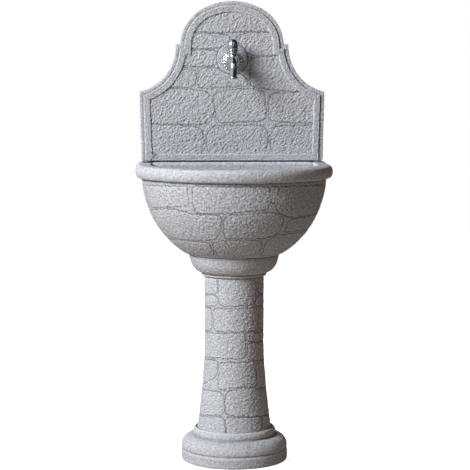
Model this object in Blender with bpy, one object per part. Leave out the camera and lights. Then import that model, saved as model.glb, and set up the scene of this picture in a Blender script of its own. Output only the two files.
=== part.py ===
"""A garden drinking fountain in cast stone: pedestal, basin, back panel, tap, water supply and waste.

Metres, +Z up. The front faces -Y and the flat back stands against a wall at +Y.
The origin is on the floor, at the centre of the footprint. Run with blender --background --python part.py.
"""

import math

import bmesh
import bpy
from mathutils import Vector

# ---------------------------------------------------------------- driving dimensions
WIDTH = 0.600
DEPTH = 0.470
HEIGHT = 1.400

GAP = 0.0003  # left between pieces that touch
WALL_Y = DEPTH / 2
BASIN_RADIUS = WIDTH / 2
AXIS_Y = BASIN_RADIUS - DEPTH / 2  # the upright axis of the pedestal and the basin

PEDESTAL_BORE = 0.055
BASE_RADIUS = 0.164
SOCKET_FLOOR_Z = 0.095
SHAFT_FOOT_Z = 0.098
SHAFT_TOP_Z = 0.563
SHAFT_RADIUS = 0.0918
SHAFT_FLARE_Z = 0.360  # the shaft is straight above this height and flares below it
CAPITAL_FOOT_Z = 0.566
CAPITAL_TOP_Z = 0.629
BASIN_FOOT_Z = 0.632
RIM_UNDER_Z = 0.861
RIM_TOP_Z = 0.904
PANEL_FOOT_Z = 0.9075

BOWL_RADIUS = 0.2825
BOWL_CENTRE_Z = 0.900
BOWL_DROP = 0.302
BOWL_POWER = 2.15
CAVITY_RADIUS = 0.250
CAVITY_DROP = 0.232
CAVITY_BACK = 0.125  # from the axis to the basin's upright back wall

PANEL_THICKNESS = 0.050
PANEL_BAND_DROP = 0.005  # the outer band lies this much behind the frame
PANEL_FIELD_DROP = 0.009  # and the field of stones this much
PANEL_HALF_FOOT = 0.2825
PANEL_HALF_SHOULDER = 0.2876
SHOULDER_CENTRE = (0.3193, 1.262)
SHOULDER_RADIUS = 0.1443
STEP_Z = 1.268
ARCH_HALF = 0.1605
ARCH_SPRING_Z = 1.262
ARCH_SIDE_RADIUS = 0.130

FIELD_Y = WALL_Y - PANEL_THICKNESS + PANEL_FIELD_DROP
BOSS_Y = FIELD_Y - 0.008
BOSS_RADIUS = 0.0475
BOSS_Z = 1.222
TAP_Z = 1.214
TAP_Y = BOSS_Y - 0.045  # the upright axis of the tap's headwork
SPOUT_Y = TAP_Y - 0.0395
THREAD_RADIUS = 0.0104  # a half-inch pipe thread

CHANNEL_HALF = 0.017
CHANNEL_DEPTH = 0.028
PIPE_Y = WALL_Y - 0.0135
PIPE_RADIUS = 0.0075
PIPE_FOOT_Z = 0.600
ELBOW_FOOT_Z = 1.178

FINE, COARSE, BIG = 20, 12, 32  # steps round a turned piece


# ---------------------------------------------------------------- materials
def new_material(name, colour, roughness, metallic=0.0):
    material = bpy.data.materials.new(name)
    material.use_nodes = True
    shader = material.node_tree.nodes["Principled BSDF"]
    shader.inputs["Base Color"].default_value = (*colour, 1)
    shader.inputs["Roughness"].default_value = roughness
    shader.inputs["Metallic"].default_value = metallic
    material.diffuse_color = (*colour, 1)
    return material


# ---------------------------------------------------------------- making solids
def clear_scene():
    for obj in list(bpy.data.objects):
        bpy.data.objects.remove(obj)


def finish_mesh(name, bm, material, location=(0, 0, 0), rotation=(0, 0, 0)):
    """The bmesh as a named object, shaded smooth with its hard edges kept."""
    bmesh.ops.recalc_face_normals(bm, faces=bm.faces)
    mesh = bpy.data.meshes.new(name)
    bm.to_mesh(mesh)
    bm.free()
    mesh.materials.append(material)
    mesh.shade_smooth()
    mesh.set_sharp_from_angle(angle=math.radians(35))
    obj = bpy.data.objects.new(name, mesh)
    obj.location = location
    obj.rotation_euler = rotation
    bpy.context.scene.collection.objects.link(obj)
    return obj


def turning(along):
    """The rotation that turns a piece's own +Z to stand up, or to point to the front."""
    return (math.pi / 2, 0, 0) if along == "front" else (0, 0, 0)


def turned(name, material, profile, location, steps=FINE, along="up"):
    """A closed outline of (radius, height) points, spun about its upright axis."""
    bm = bmesh.new()
    corners = [bm.verts.new((radius, 0, height)) for radius, height in profile]
    pairs = zip(corners, corners[1:] + corners[:1])
    edges = [bm.edges.new(p) for p in pairs if p[0].co.x > 0 or p[1].co.x > 0]
    bmesh.ops.spin(
        bm, geom=corners + edges, axis=(0, 0, 1), cent=(0, 0, 0),
        angle=2 * math.pi, steps=steps, use_merge=True,
    )
    bmesh.ops.remove_doubles(bm, verts=bm.verts, dist=1e-6)
    return finish_mesh(name, bm, material, location, turning(along))


def lofted(name, material, rings, location=(0, 0, 0)):
    """A closed skin over rings that all have the same number of points, capped at both ends."""
    bm = bmesh.new()
    rows = [[bm.verts.new(point) for point in ring] for ring in rings]
    for low, high in zip(rows, rows[1:]):
        for i in range(len(low)):
            j = (i + 1) % len(low)
            bm.faces.new((low[i], low[j], high[j], high[i]))
    bm.faces.new(rows[0])
    bm.faces.new(rows[-1])
    return finish_mesh(name, bm, material, location)


def boxed(name, material, low, high):
    """A block between two corners."""
    bm = bmesh.new()
    bmesh.ops.create_cube(bm, size=1)
    size = Vector(high) - Vector(low)
    bmesh.ops.scale(bm, vec=size, verts=bm.verts)
    return finish_mesh(name, bm, material, (Vector(low) + Vector(high)) / 2)


def swept(name, material, path, radii, steps=COARSE):
    """A tube whose rings stand square to a path in the plane x = 0."""
    points = [Vector((0, y, z)) for y, z in path]
    rings = []
    for i, (point, radius) in enumerate(zip(points, radii)):
        ahead = points[min(i + 1, len(points) - 1)] - points[max(i - 1, 0)]
        side = ahead.normalized().cross(Vector((1, 0, 0)))
        angles = [2 * math.pi * k / steps for k in range(steps)]
        rings.append([
            point + radius * (math.cos(a) * Vector((1, 0, 0)) + math.sin(a) * side)
            for a in angles
        ])
    return lofted(name, material, rings)


def nut(name, material, across_flats, bore, height, location, steps=2 * COARSE):
    """A hexagon nut with a round bore, standing on its location."""
    angles = [2 * math.pi * k / steps for k in range(steps)]
    sixth = math.pi / 3
    outer = [across_flats / 2 / math.cos(a % sixth - sixth / 2) for a in angles]
    ring = [(r * math.cos(a), r * math.sin(a)) for r, a in zip(outer, angles)]
    hole = [(bore * math.cos(a), bore * math.sin(a)) for a in angles]
    bm = bmesh.new()
    rows = [(hole, 0), (ring, 0), (ring, height), (hole, height)]
    rows = [[bm.verts.new((x, y, z)) for x, y in points] for points, z in rows]
    for low, high in zip(rows, rows[1:] + rows[:1]):
        for i in range(steps):
            j = (i + 1) % steps
            bm.faces.new((low[i], low[j], high[j], high[i]))
    return finish_mesh(name, bm, material, location)


def helper(obj):
    """Marks a cutter or a filler, which is no piece of the fountain."""
    obj.hide_render = True
    obj.display_type = "WIRE"
    return obj


def combine(obj, other, operation="DIFFERENCE"):
    boolean = obj.modifiers.new(f"{operation.title()} {other.name}", "BOOLEAN")
    boolean.operation = operation
    boolean.object = helper(other)
    return obj


def drill(obj, radius, start, length, along="up", steps=12):
    """Cuts a round hole of that length from its start, upwards or towards the front."""
    profile = [(0, 0), (radius, 0), (radius, length), (0, length)]
    cutter = turned(f"cut_{obj.name}_{len(obj.modifiers)}", STEEL, profile, start, steps, along)
    return combine(obj, cutter)


def pocket(obj, low, high):
    """Cuts a block out of a piece."""
    return combine(obj, boxed(f"cut_{obj.name}_{len(obj.modifiers)}", STEEL, low, high))


def twin(obj, name, location):
    """Another of the same piece: its own object, sharing the mesh."""
    other = obj.copy()
    other.name = name
    other.location = location
    bpy.context.scene.collection.objects.link(other)
    return other


clear_scene()
STONE = new_material("cast_stone", (0.52, 0.52, 0.54), 0.9)
MORTAR = new_material("mortar", (0.40, 0.40, 0.41), 0.95)
CHROME = new_material("chromed_brass", (0.75, 0.76, 0.78), 0.12, 1.0)
BRASS = new_material("brass", (0.72, 0.52, 0.24), 0.3, 1.0)
COPPER = new_material("copper", (0.70, 0.38, 0.26), 0.35, 1.0)
STEEL = new_material("stainless_steel", (0.55, 0.56, 0.58), 0.35, 1.0)
RUBBER = new_material("rubber", (0.03, 0.03, 0.03), 0.8)
PLASTIC = new_material("white_plastic", (0.80, 0.80, 0.79), 0.5)
AXIS = (0, AXIS_Y, 0)


# ---------------------------------------------------------------- pedestal
def shaft_radius(z):
    """The shaft's radius at a height: straight above, flaring to the foot."""
    below = max(0.0, SHAFT_FLARE_Z - z)
    return SHAFT_RADIUS + 0.181 * below**1.55


def make_base():
    """The moulded foot: a plinth, a swelling torus, and a collar whose socket takes the shaft."""
    profile = [
        (PEDESTAL_BORE, 0), (0.158, 0), (0.162, 0.002), (BASE_RADIUS, 0.007), (BASE_RADIUS, 0.029),
        (0.162, 0.033), (0.1595, 0.0355), (0.1625, 0.039), (0.1605, 0.049), (0.154, 0.059),
        (0.144, 0.067), (0.133, 0.0715), (0.1265, 0.0725), (0.1285, 0.078), (0.1295, 0.088),
        (0.128, 0.098), (0.124, 0.1055), (0.1185, 0.108), (0.1165, 0.1065),
        (0.1165, SOCKET_FLOOR_Z), (PEDESTAL_BORE, SOCKET_FLOOR_Z),
    ]
    return turned("pedestal_base", STONE, profile, AXIS, BIG)


def make_shaft():
    """The hollow shaft that flares towards its foot."""
    heights = [SHAFT_FOOT_Z, 0.130, 0.165, 0.200, 0.240, 0.280, 0.320, SHAFT_FLARE_Z, SHAFT_TOP_Z]
    profile = [(shaft_radius(z), z) for z in heights]
    profile += [(PEDESTAL_BORE, SHAFT_TOP_Z), (PEDESTAL_BORE, SHAFT_FOOT_Z)]
    return turned("pedestal_shaft", STONE, profile, AXIS, BIG)


def make_capital():
    """The ring between shaft and basin: an astragal under a swelling ovolo."""
    profile = [
        (PEDESTAL_BORE, CAPITAL_FOOT_Z), (0.0925, CAPITAL_FOOT_Z), (0.096, 0.5685), (0.1035, 0.5775),
        (0.1065, 0.5835), (0.1055, 0.588), (0.109, 0.590), (0.1145, 0.594), (0.121, 0.5995),
        (0.128, 0.606), (0.133, 0.613), (0.136, 0.620), (0.137, CAPITAL_TOP_Z),
        (PEDESTAL_BORE, CAPITAL_TOP_Z),
    ]
    return turned("capital", STONE, profile, AXIS, BIG)


def make_mortar_rings():
    """The thin beds of mortar between the castings of the pedestal."""
    beds = [
        ("base_joint_mortar", 0.094, 0.1125, SOCKET_FLOOR_Z, SHAFT_FOOT_Z),
        ("capital_joint_mortar", 0.0755, 0.0905, SHAFT_TOP_Z, CAPITAL_FOOT_Z),
        ("basin_joint_mortar", 0.101, 0.1345, CAPITAL_TOP_Z, BASIN_FOOT_Z),
    ]
    for name, inner, outer, low, high in beds:
        low, high = low + GAP, high - GAP
        profile = [(inner, low), (outer, low), (outer, high), (inner, high)]
        turned(name, MORTAR, profile, AXIS, BIG)


DOWEL_RADIUS = 0.004
DOWEL_HOLE = DOWEL_RADIUS + GAP
DOWEL_LENGTH = 0.042


def make_stone_dowels(base, shaft, capital, basin):
    """Steel pins across each joint of the pedestal, and the holes that they stand in."""
    joints = [
        ("base", base, shaft, SOCKET_FLOOR_Z, SHAFT_FOOT_Z, (0.085, 0)),
        ("capital", shaft, capital, SHAFT_TOP_Z, CAPITAL_FOOT_Z, (0, 0.070)),
        ("basin", capital, basin, CAPITAL_TOP_Z, BASIN_FOOT_Z, (0.095, 0)),
    ]
    profile = [(0, 0), (DOWEL_RADIUS, 0), (DOWEL_RADIUS, DOWEL_LENGTH), (0, DOWEL_LENGTH)]
    pin = None
    for joint, under, over, low, high, (x, y) in joints:
        foot = (low + high - DOWEL_LENGTH) / 2
        depth = low - foot + GAP
        for number, side in ((1, -1), (2, 1)):
            name, at = f"{joint}_dowel_{number}", (side * x, AXIS_Y + side * y)
            if pin:
                twin(pin, name, (*at, foot))
            else:
                pin = turned(name, STEEL, profile, (*at, foot), 12)
            drill(under, DOWEL_HOLE, (*at, low - depth), depth + 0.005)
            drill(over, DOWEL_HOLE, (*at, high - 0.005), depth + 0.005)


# ---------------------------------------------------------------- basin
def d_ring(radius, back_y, z, arc_steps=22):
    """A level D: half a circle towards the front, and straight sides to the back."""
    turn = [math.pi + math.pi * k / arc_steps for k in range(arc_steps + 1)]
    arc = [(radius * math.cos(a), AXIS_Y + radius * math.sin(a), z) for a in turn]
    return [(-radius, back_y, z), *arc, (radius, back_y, z)]


def bowl_radius(z):
    """The outside of the bowl, a squarish quarter ellipse."""
    share = (BOWL_CENTRE_Z - z) / BOWL_DROP
    return BOWL_RADIUS * (1 - share**BOWL_POWER) ** (1 / BOWL_POWER)


def cavity_ring(z):
    """The inside of the bowl, whose upright back turns in towards the floor."""
    share = max(0.0, (BOWL_CENTRE_Z - z) / CAVITY_DROP)
    radius = CAVITY_RADIUS * (1 - share**BOWL_POWER) ** (1 / BOWL_POWER)
    back = CAVITY_BACK * (1 - share**8) ** (1 / 8)
    return d_ring(radius, AXIS_Y + back, z)


def make_basin():
    """The D-shaped basin: a bowl under a rounded rim, flat at the back."""
    outside = [BASIN_FOOT_Z, 0.640, 0.650, 0.662, 0.680, 0.705, 0.740, 0.785, 0.830, RIM_UNDER_Z]
    rings = [d_ring(bowl_radius(z), WALL_Y, z) for z in outside]
    rim = [
        (0.2885, 0.8622), (0.2945, 0.866), (0.2985, 0.8735), (BASIN_RADIUS, 0.882),
        (0.299, 0.891), (0.295, 0.8985), (0.288, 0.903), (0.279, RIM_TOP_Z),
    ]
    rings += [d_ring(radius, WALL_Y, z) for radius, z in rim]
    rings.append(d_ring(0.253, AXIS_Y + CAVITY_BACK + 0.003, RIM_TOP_Z))
    inside = [0.901, 0.860, 0.815, 0.770, 0.730, 0.700, 0.682, 0.673, 0.6695]
    rings += [cavity_ring(z) for z in inside]
    return lofted("basin", STONE, rings)


WASTE_FLANGE_Z = 0.6663
WASTE_SEAT_Z = 0.664


def fit_basin_for_waste_and_pipe(basin):
    """The waste's hole and seat in the floor, and the channel for the supply pipe in the back."""
    drill(basin, 0.0375, (0, AXIS_Y, WASTE_SEAT_Z), 0.03, steps=FINE)
    drill(basin, 0.0255, (0, AXIS_Y, 0.60), 0.10, steps=FINE)
    low = (-CHANNEL_HALF, WALL_Y - CHANNEL_DEPTH, BASIN_FOOT_Z - 0.02)
    pocket(basin, low, (CHANNEL_HALF, WALL_Y + 0.02, RIM_TOP_Z + 0.02))


# ---------------------------------------------------------------- back panel
def arc_points(centre, radius, start, end, steps):
    """Points from one angle to another round a centre, both ends included."""
    angles = [start + (end - start) * k / steps for k in range(steps + 1)]
    return [(centre[0] + radius * math.cos(a), centre[1] + radius * math.sin(a)) for a in angles]


def panel_outline(inset, rise):
    """The panel's outline as (x, z) points, moved in by an inset, with its foot raised by a rise."""
    step = STEP_Z - inset
    centre_x, centre_z = SHOULDER_CENTRE
    radius = SHOULDER_RADIUS + inset
    reach = centre_x - (PANEL_HALF_SHOULDER - inset)
    start = math.pi + math.acos(reach / radius)
    end = math.pi + math.asin(max(0.0, centre_z - step + 0.002) / radius)
    right = [(PANEL_HALF_FOOT - inset, PANEL_FOOT_Z + rise)]
    right += arc_points(SHOULDER_CENTRE, radius, start, end, 8)
    right.append((centre_x - math.sqrt(radius**2 - max(0.0, centre_z - step) ** 2), step))

    side = ARCH_SIDE_RADIUS - inset
    height = HEIGHT - ARCH_SPRING_Z
    offset = ARCH_HALF - ARCH_SIDE_RADIUS
    crown = (ARCH_SIDE_RADIUS**2 - height**2 - offset**2) / (2 * (ARCH_SIDE_RADIUS - height))
    turn = math.atan2(crown - height, offset)
    right.append((offset + math.sqrt(side**2 - max(0.0, step - ARCH_SPRING_Z) ** 2), step))
    start = math.asin(max(0.0, step - ARCH_SPRING_Z + 0.002) / side)
    right += arc_points((offset, ARCH_SPRING_Z), side, start, turn, 6)
    right += arc_points((0, HEIGHT - crown), crown - inset, turn, math.pi / 2, 4)[1:]
    return right + [(-x, z) for x, z in reversed(right[:-1])]


def make_panel():
    """The panel: a stepped frame round a sunk field, with the round boss that the tap stands on."""
    front = WALL_Y - PANEL_THICKNESS
    band = front + PANEL_BAND_DROP
    sections = [
        (0.0, 0.0, WALL_Y), (0.0, 0.0, band + 0.003), (0.003, 0.0, band), (0.012, 0.0, band - 0.0002),
        (0.0135, 0.0004, front + 0.001), (0.015, 0.001, front), (0.033, 0.020, front),
        (0.035, 0.022, front + 0.002), (0.036, 0.0225, FIELD_Y),
    ]
    rings = [[(x, y, z) for x, z in panel_outline(inset, rise)] for inset, rise, y in sections]
    panel = lofted("back_panel", STONE, rings)
    profile = [(0, -0.010), (BOSS_RADIUS, -0.010), (BOSS_RADIUS, 0.006), (0.0455, 0.008), (0, 0.008)]
    boss = turned("tap_boss", STONE, profile, (0, FIELD_Y, BOSS_Z), BIG, "front")
    combine(panel, boss, "UNION")
    return panel


ELBOW_SCREW_X = 0.0215
HANGER_X = 0.165
HANGER_Z = 1.075
HANGER_SCREW_X = 0.018
PANEL_DOWEL_X = 0.200
PANEL_DOWEL_Y = (WALL_Y + AXIS_Y + CAVITY_BACK) / 2


def fit_panel_for_pipe_and_wall(panel):
    """The tap's hole, the pipe's channel, the elbow's recess and the hangers' pockets, all from behind."""
    drill(panel, 0.0142, (0, WALL_Y + 0.01, TAP_Z), 0.08, "front", FINE)
    low = (-CHANNEL_HALF, WALL_Y - CHANNEL_DEPTH, PANEL_FOOT_Z - 0.02)
    pocket(panel, low, (CHANNEL_HALF, WALL_Y + 0.02, TAP_Z - 0.010))
    recess = (-0.032, WALL_Y - 0.025, TAP_Z - 0.020)
    pocket(panel, recess, (0.032, WALL_Y + 0.0201, TAP_Z + 0.020))
    for side in (-1, 1):
        drill(panel, 0.0021, (side * ELBOW_SCREW_X, 0.215, TAP_Z), 0.0185, "front", 8)
        x = side * HANGER_X
        seat = (x - 0.0255, WALL_Y - 0.0038, HANGER_Z - 0.0185)
        pocket(panel, seat, (x + 0.0255, WALL_Y + 0.01, HANGER_Z + 0.0185))
        hollow = (x - 0.009, WALL_Y - 0.016, HANGER_Z - 0.013)
        pocket(panel, hollow, (x + 0.009, WALL_Y + 0.0101, HANGER_Z + 0.015))
        for offset in (-HANGER_SCREW_X, HANGER_SCREW_X):
            drill(panel, 0.0021, (x + offset, WALL_Y + 0.005, HANGER_Z), 0.027, "front", 8)


def make_panel_dowels(panel, basin):
    """Two pins stand in the basin's back wall and hold the panel's foot."""
    low, high = 0.880, 0.932
    profile = [(0, low), (0.005, low), (0.005, high), (0, high)]
    left = turned("panel_dowel_1", STEEL, profile, (-PANEL_DOWEL_X, PANEL_DOWEL_Y, 0), 12)
    twin(left, "panel_dowel_2", (PANEL_DOWEL_X, PANEL_DOWEL_Y, 0))
    for x in (-PANEL_DOWEL_X, PANEL_DOWEL_X):
        drill(basin, 0.0053, (x, PANEL_DOWEL_Y, low - GAP), 0.05)
        drill(panel, 0.0053, (x, PANEL_DOWEL_Y, high + GAP - 0.05), 0.05)


def make_panel_mortar():
    """The bed under the panel, set back from its face except where the rim carries the panel's ends."""
    half, face, back = 0.279, WALL_Y - PANEL_THICKNESS + 0.004, WALL_Y - 0.001
    inner, set_back = 0.255, WALL_Y - PANEL_THICKNESS + 0.014
    outline = [
        (-half, back), (-half, face), (-inner, face), (-inner, set_back),
        (inner, set_back), (inner, face), (half, face), (half, back),
    ]
    levels = (RIM_TOP_Z + GAP, PANEL_FOOT_Z - GAP)
    bed = lofted("panel_joint_mortar", MORTAR, [[(x, y, z) for x, y in outline] for z in levels])
    low = (-CHANNEL_HALF, WALL_Y - CHANNEL_DEPTH, RIM_TOP_Z - 0.01)
    pocket(bed, low, (CHANNEL_HALF, WALL_Y + 0.02, PANEL_FOOT_Z + 0.01))
    for x in (-PANEL_DOWEL_X, PANEL_DOWEL_X):
        drill(bed, 0.0053, (x, PANEL_DOWEL_Y, RIM_TOP_Z - 0.01), 0.03)


def make_hangers():
    """Steel keyhole plates let into the panel's back, each held by two countersunk screws."""
    face, root = WALL_Y - GAP, WALL_Y - 0.0035
    profile = [(0, 0), (0.0039, 0), (0.0039, 0.0008), (0.0018, 0.0027), (0.0018, 0.019), (0, 0.019)]
    screw = None
    for number, x in ((1, -HANGER_X), (2, HANGER_X)):
        low, high = (x - 0.025, root, HANGER_Z - 0.018), (x + 0.025, face, HANGER_Z + 0.018)
        plate = boxed(f"hanger_plate_{number}", STEEL, low, high)
        drill(plate, 0.0055, (x, WALL_Y + 0.01, HANGER_Z - 0.006), 0.03, "front", 16)
        slot = (x - 0.0027, WALL_Y - 0.02, HANGER_Z - 0.006)
        pocket(plate, slot, (x + 0.0027, WALL_Y + 0.01, HANGER_Z + 0.010))
        for offset in (-HANGER_SCREW_X, HANGER_SCREW_X):
            drill(plate, 0.0042, (x + offset, WALL_Y + 0.01, HANGER_Z), 0.03, "front", 12)
            at = (x + offset, WALL_Y - 0.0007, HANGER_Z)
            name = f"hanger_screw_{2 * number - (offset < 0)}"
            screw = twin(screw, name, at) if screw else turned(name, STEEL, profile, at, 12, "front")


# ---------------------------------------------------------------- tap
TAP_AT = (0, TAP_Y, 0)
BODY_TOP_Z = 1.2362
SEAT_Z = 1.2225


def make_tap_body():
    """The cast body: a bulb on an inlet barrel, a bent spout, and the valve seat inside."""
    bulb = [
        (0, 1.189), (0.006, 1.1895), (0.011, 1.192), (0.0155, 1.198), (0.0185, 1.206), (0.019, 1.213),
        (0.0178, 1.221), (0.015, 1.228), (0.0135, 1.2315), (0.0145, 1.2335), (0.0145, BODY_TOP_Z),
        (0, BODY_TOP_Z),
    ]
    body = turned("tap_body", CHROME, bulb, TAP_AT)
    barrel = [
        (0, -0.079), (THREAD_RADIUS, -0.079), (THREAD_RADIUS, -0.0285), (0.0125, -0.0285),
        (0.014, -0.0265), (0.014, -0.0225), (0.0115, -0.020), (0.0115, 0), (0, 0),
    ]
    combine(body, turned("tap_barrel", CHROME, barrel, (0, TAP_Y, TAP_Z), FINE, "front"), "UNION")
    path = [
        (TAP_Y, 1.2215), (TAP_Y - 0.010, 1.2205), (TAP_Y - 0.019, 1.2180), (TAP_Y - 0.028, 1.2130),
        (TAP_Y - 0.035, 1.2055), (TAP_Y - 0.0385, 1.1960), (SPOUT_Y, 1.1860), (SPOUT_Y, 1.1720),
    ]
    radii = [0.0125, 0.0125, 0.0125, 0.0125, 0.0122, 0.012, 0.0115, 0.0115]
    combine(body, swept("tap_spout", CHROME, path, radii), "UNION")
    drill(body, 0.006, (0, TAP_Y + 0.085, TAP_Z), 0.091, "front")
    drill(body, 0.005, (0, TAP_Y, TAP_Z), 0.015)
    drill(body, 0.0095, (0, TAP_Y, SEAT_Z), 0.03, steps=COARSE)
    way = [
        (TAP_Y - 0.002, 1.2284), (TAP_Y - 0.012, 1.2265), (TAP_Y - 0.022, 1.2190),
        (TAP_Y - 0.032, 1.2080), (TAP_Y - 0.0385, 1.1950), (SPOUT_Y, 1.1840), (SPOUT_Y, 1.1600),
    ]
    combine(body, swept("cut_spout_way", CHROME, way, [0.0045] * len(way), 12))
    drill(body, 0.0085, (0, SPOUT_Y, 1.1620), 0.018, steps=COARSE)
    return body


def make_nozzle():
    """The turned tip screwed into the spout."""
    profile = [
        (0.0055, 1.1600), (0.0118, 1.1600), (0.0128, 1.1615), (0.0128, 1.1645), (0.0112, 1.1665),
        (0.0115, 1.1717), (0.0082, 1.1717), (0.0082, 1.1795), (0.0055, 1.1795),
    ]
    turned("spout_nozzle", CHROME, profile, (0, SPOUT_Y, 0))


def make_rosette():
    """The dished flange between the tap and the boss."""
    profile = [
        (0.0107, GAP), (0.031, GAP), (0.0325, 0.0015), (0.0325, 0.0035), (0.030, 0.006),
        (0.024, 0.008), (0.019, 0.0105), (0.0165, 0.014), (0.015, 0.016), (0.0107, 0.016),
    ]
    turned("tap_rosette", CHROME, profile, (0, BOSS_Y, TAP_Z), FINE, "front")


def make_headwork():
    """The bonnet, its seal, the packing and the gland nut, all fixed to the body."""
    seal = [(0.0100, 1.2365), (0.0140, 1.2365), (0.0140, 1.2377), (0.0100, 1.2377)]
    turned("bonnet_seal", RUBBER, seal, TAP_AT, COARSE)
    bonnet = [
        (0.0053, 1.2305), (0.0092, 1.2305), (0.0092, 1.2380), (0.0140, 1.2380), (0.0140, 1.2425),
        (0.0120, 1.2430), (0.0120, 1.2580), (0.0078, 1.2580), (0.0078, 1.2505), (0.0053, 1.2505),
    ]
    turned("tap_bonnet", CHROME, bonnet, TAP_AT, COARSE)
    packing = [(0.0056, 1.2508), (0.0075, 1.2508), (0.0075, 1.2548), (0.0056, 1.2548)]
    turned("gland_packing", RUBBER, packing, TAP_AT, COARSE)
    gland = [
        (0.0056, 1.2551), (0.0075, 1.2551), (0.0075, 1.2583), (0.0100, 1.2583), (0.0100, 1.2615),
        (0.0056, 1.2615),
    ]
    turned("gland_nut", BRASS, gland, TAP_AT, COARSE)


def make_valve():
    """The jumper with its washer: it closes on the seat and rides up with the spindle."""
    washer = [(0.0016, SEAT_Z + GAP), (0.0070, SEAT_Z + GAP), (0.0070, 1.2248), (0.0016, 1.2248)]
    turned("valve_washer", RUBBER, washer, TAP_AT, COARSE)
    jumper = [
        (0, 1.2230), (0.0013, 1.2230), (0.0013, 1.2251), (0.0075, 1.2251), (0.0075, 1.2262),
        (0.0021, 1.2262), (0.0021, 1.2340), (0, 1.2340),
    ]
    turned("valve_jumper", BRASS, jumper, TAP_AT, COARSE)


def make_handle():
    """The spindle, and the bell-shaped knob that its screw holds on."""
    spindle = [
        (0, 1.2350), (0.0024, 1.2350), (0.0024, 1.2265), (0.0050, 1.2265), (0.0050, 1.2680),
        (0.0038, 1.2680), (0.0038, 1.2740), (0.0017, 1.2740), (0.0017, 1.2630), (0, 1.2630),
    ]
    turned("spindle", BRASS, spindle, TAP_AT, COARSE)
    knob = [
        (0.0017, 1.2743), (0.0041, 1.2743), (0.0041, 1.2683), (0.0140, 1.2683), (0.0148, 1.2670),
        (0.0148, 1.2430), (0.0168, 1.2430), (0.0178, 1.2440), (0.0178, 1.2475), (0.0166, 1.2490),
        (0.0172, 1.2515), (0.0176, 1.2560), (0.0172, 1.2640), (0.0158, 1.2715), (0.0125, 1.2775),
        (0.0085, 1.2806), (0.0068, 1.2812), (0.0068, 1.2768), (0.0017, 1.2768),
    ]
    turned("handle_knob", CHROME, knob, TAP_AT)
    screw = [
        (0, 1.2640), (0.0014, 1.2640), (0.0014, 1.2771), (0.0045, 1.2771), (0.0045, 1.2790),
        (0, 1.2790),
    ]
    turned("knob_screw", STEEL, screw, TAP_AT, COARSE)
    cap = [(0, 1.2793), (0.0065, 1.2793), (0.0065, 1.2812), (0.0045, 1.2820), (0, 1.2823)]
    turned("knob_cap", CHROME, cap, TAP_AT, COARSE)


# ---------------------------------------------------------------- water supply
def make_elbow():
    """A wall-plate elbow behind the panel: the tap screws into it, and the pipe comes up from below."""
    socket = [(0, 0), (0.0135, 0), (0.0135, 0.033), (0, 0.033)]
    elbow = turned("supply_elbow", BRASS, socket, (0, 0.2295, TAP_Z), FINE, "front")
    plate = boxed("elbow_plate", BRASS, (-0.029, 0.2103, TAP_Z - 0.0125), (0.029, 0.2133, TAP_Z + 0.0125))
    combine(elbow, plate, "UNION")
    leg = [(0, ELBOW_FOOT_Z), (0.0105, ELBOW_FOOT_Z), (0.0105, TAP_Z), (0, TAP_Z)]
    combine(elbow, turned("elbow_leg", BRASS, leg, (0, PIPE_Y, 0), FINE), "UNION")
    drill(elbow, 0.0107, (0, 0.2255, TAP_Z), 0.04, "front", FINE)
    drill(elbow, PIPE_RADIUS + GAP, (0, PIPE_Y, ELBOW_FOOT_Z - 0.01), 0.0375, steps=COARSE)
    profile = [
        (0, 0), (0.0030, 0), (0.004, 0.0010), (0.004, 0.0022), (0.0018, 0.0022), (0.0018, 0.018),
        (0, 0.018),
    ]
    left = turned("elbow_screw_1", STEEL, profile, (-ELBOW_SCREW_X, 0.2158, TAP_Z), 12, "front")
    twin(left, "elbow_screw_2", (ELBOW_SCREW_X, 0.2158, TAP_Z))
    for x in (-ELBOW_SCREW_X, ELBOW_SCREW_X):
        drill(elbow, 0.0023, (x, 0.22, TAP_Z), 0.02, "front", 8)


def make_pipe():
    """The copper riser in its channel, with its nut, its clips and the coupling at its foot."""
    inner, top = PIPE_RADIUS - 0.001, 1.2015
    profile = [(inner, PIPE_FOOT_Z), (PIPE_RADIUS, PIPE_FOOT_Z), (PIPE_RADIUS, top), (inner, top)]
    turned("supply_pipe", COPPER, profile, (0, PIPE_Y, 0), COARSE)
    nut("elbow_nut", BRASS, 0.0205, PIPE_RADIUS + GAP, 0.011, (0, PIPE_Y, ELBOW_FOOT_Z - 0.0113))
    for number, z in ((1, 0.985), (2, 1.105)):
        root = WALL_Y - CHANNEL_DEPTH + GAP
        low, high = (-0.0125, root, z - 0.006), (0.0125, PIPE_Y + 0.0045, z + 0.006)
        clip = boxed(f"pipe_clip_{number}", PLASTIC, low, high)
        drill(clip, PIPE_RADIUS + GAP, (0, PIPE_Y, z - 0.02), 0.04, steps=COARSE)
    bore = PIPE_RADIUS + GAP
    coupling = nut("supply_coupling", BRASS, 0.0225, bore, 0.026, (0, PIPE_Y, PIPE_FOOT_Z - 0.014))
    drill(coupling, 0.0092, (0, PIPE_Y, PIPE_FOOT_Z - 0.02), 0.017, steps=COARSE)


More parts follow.
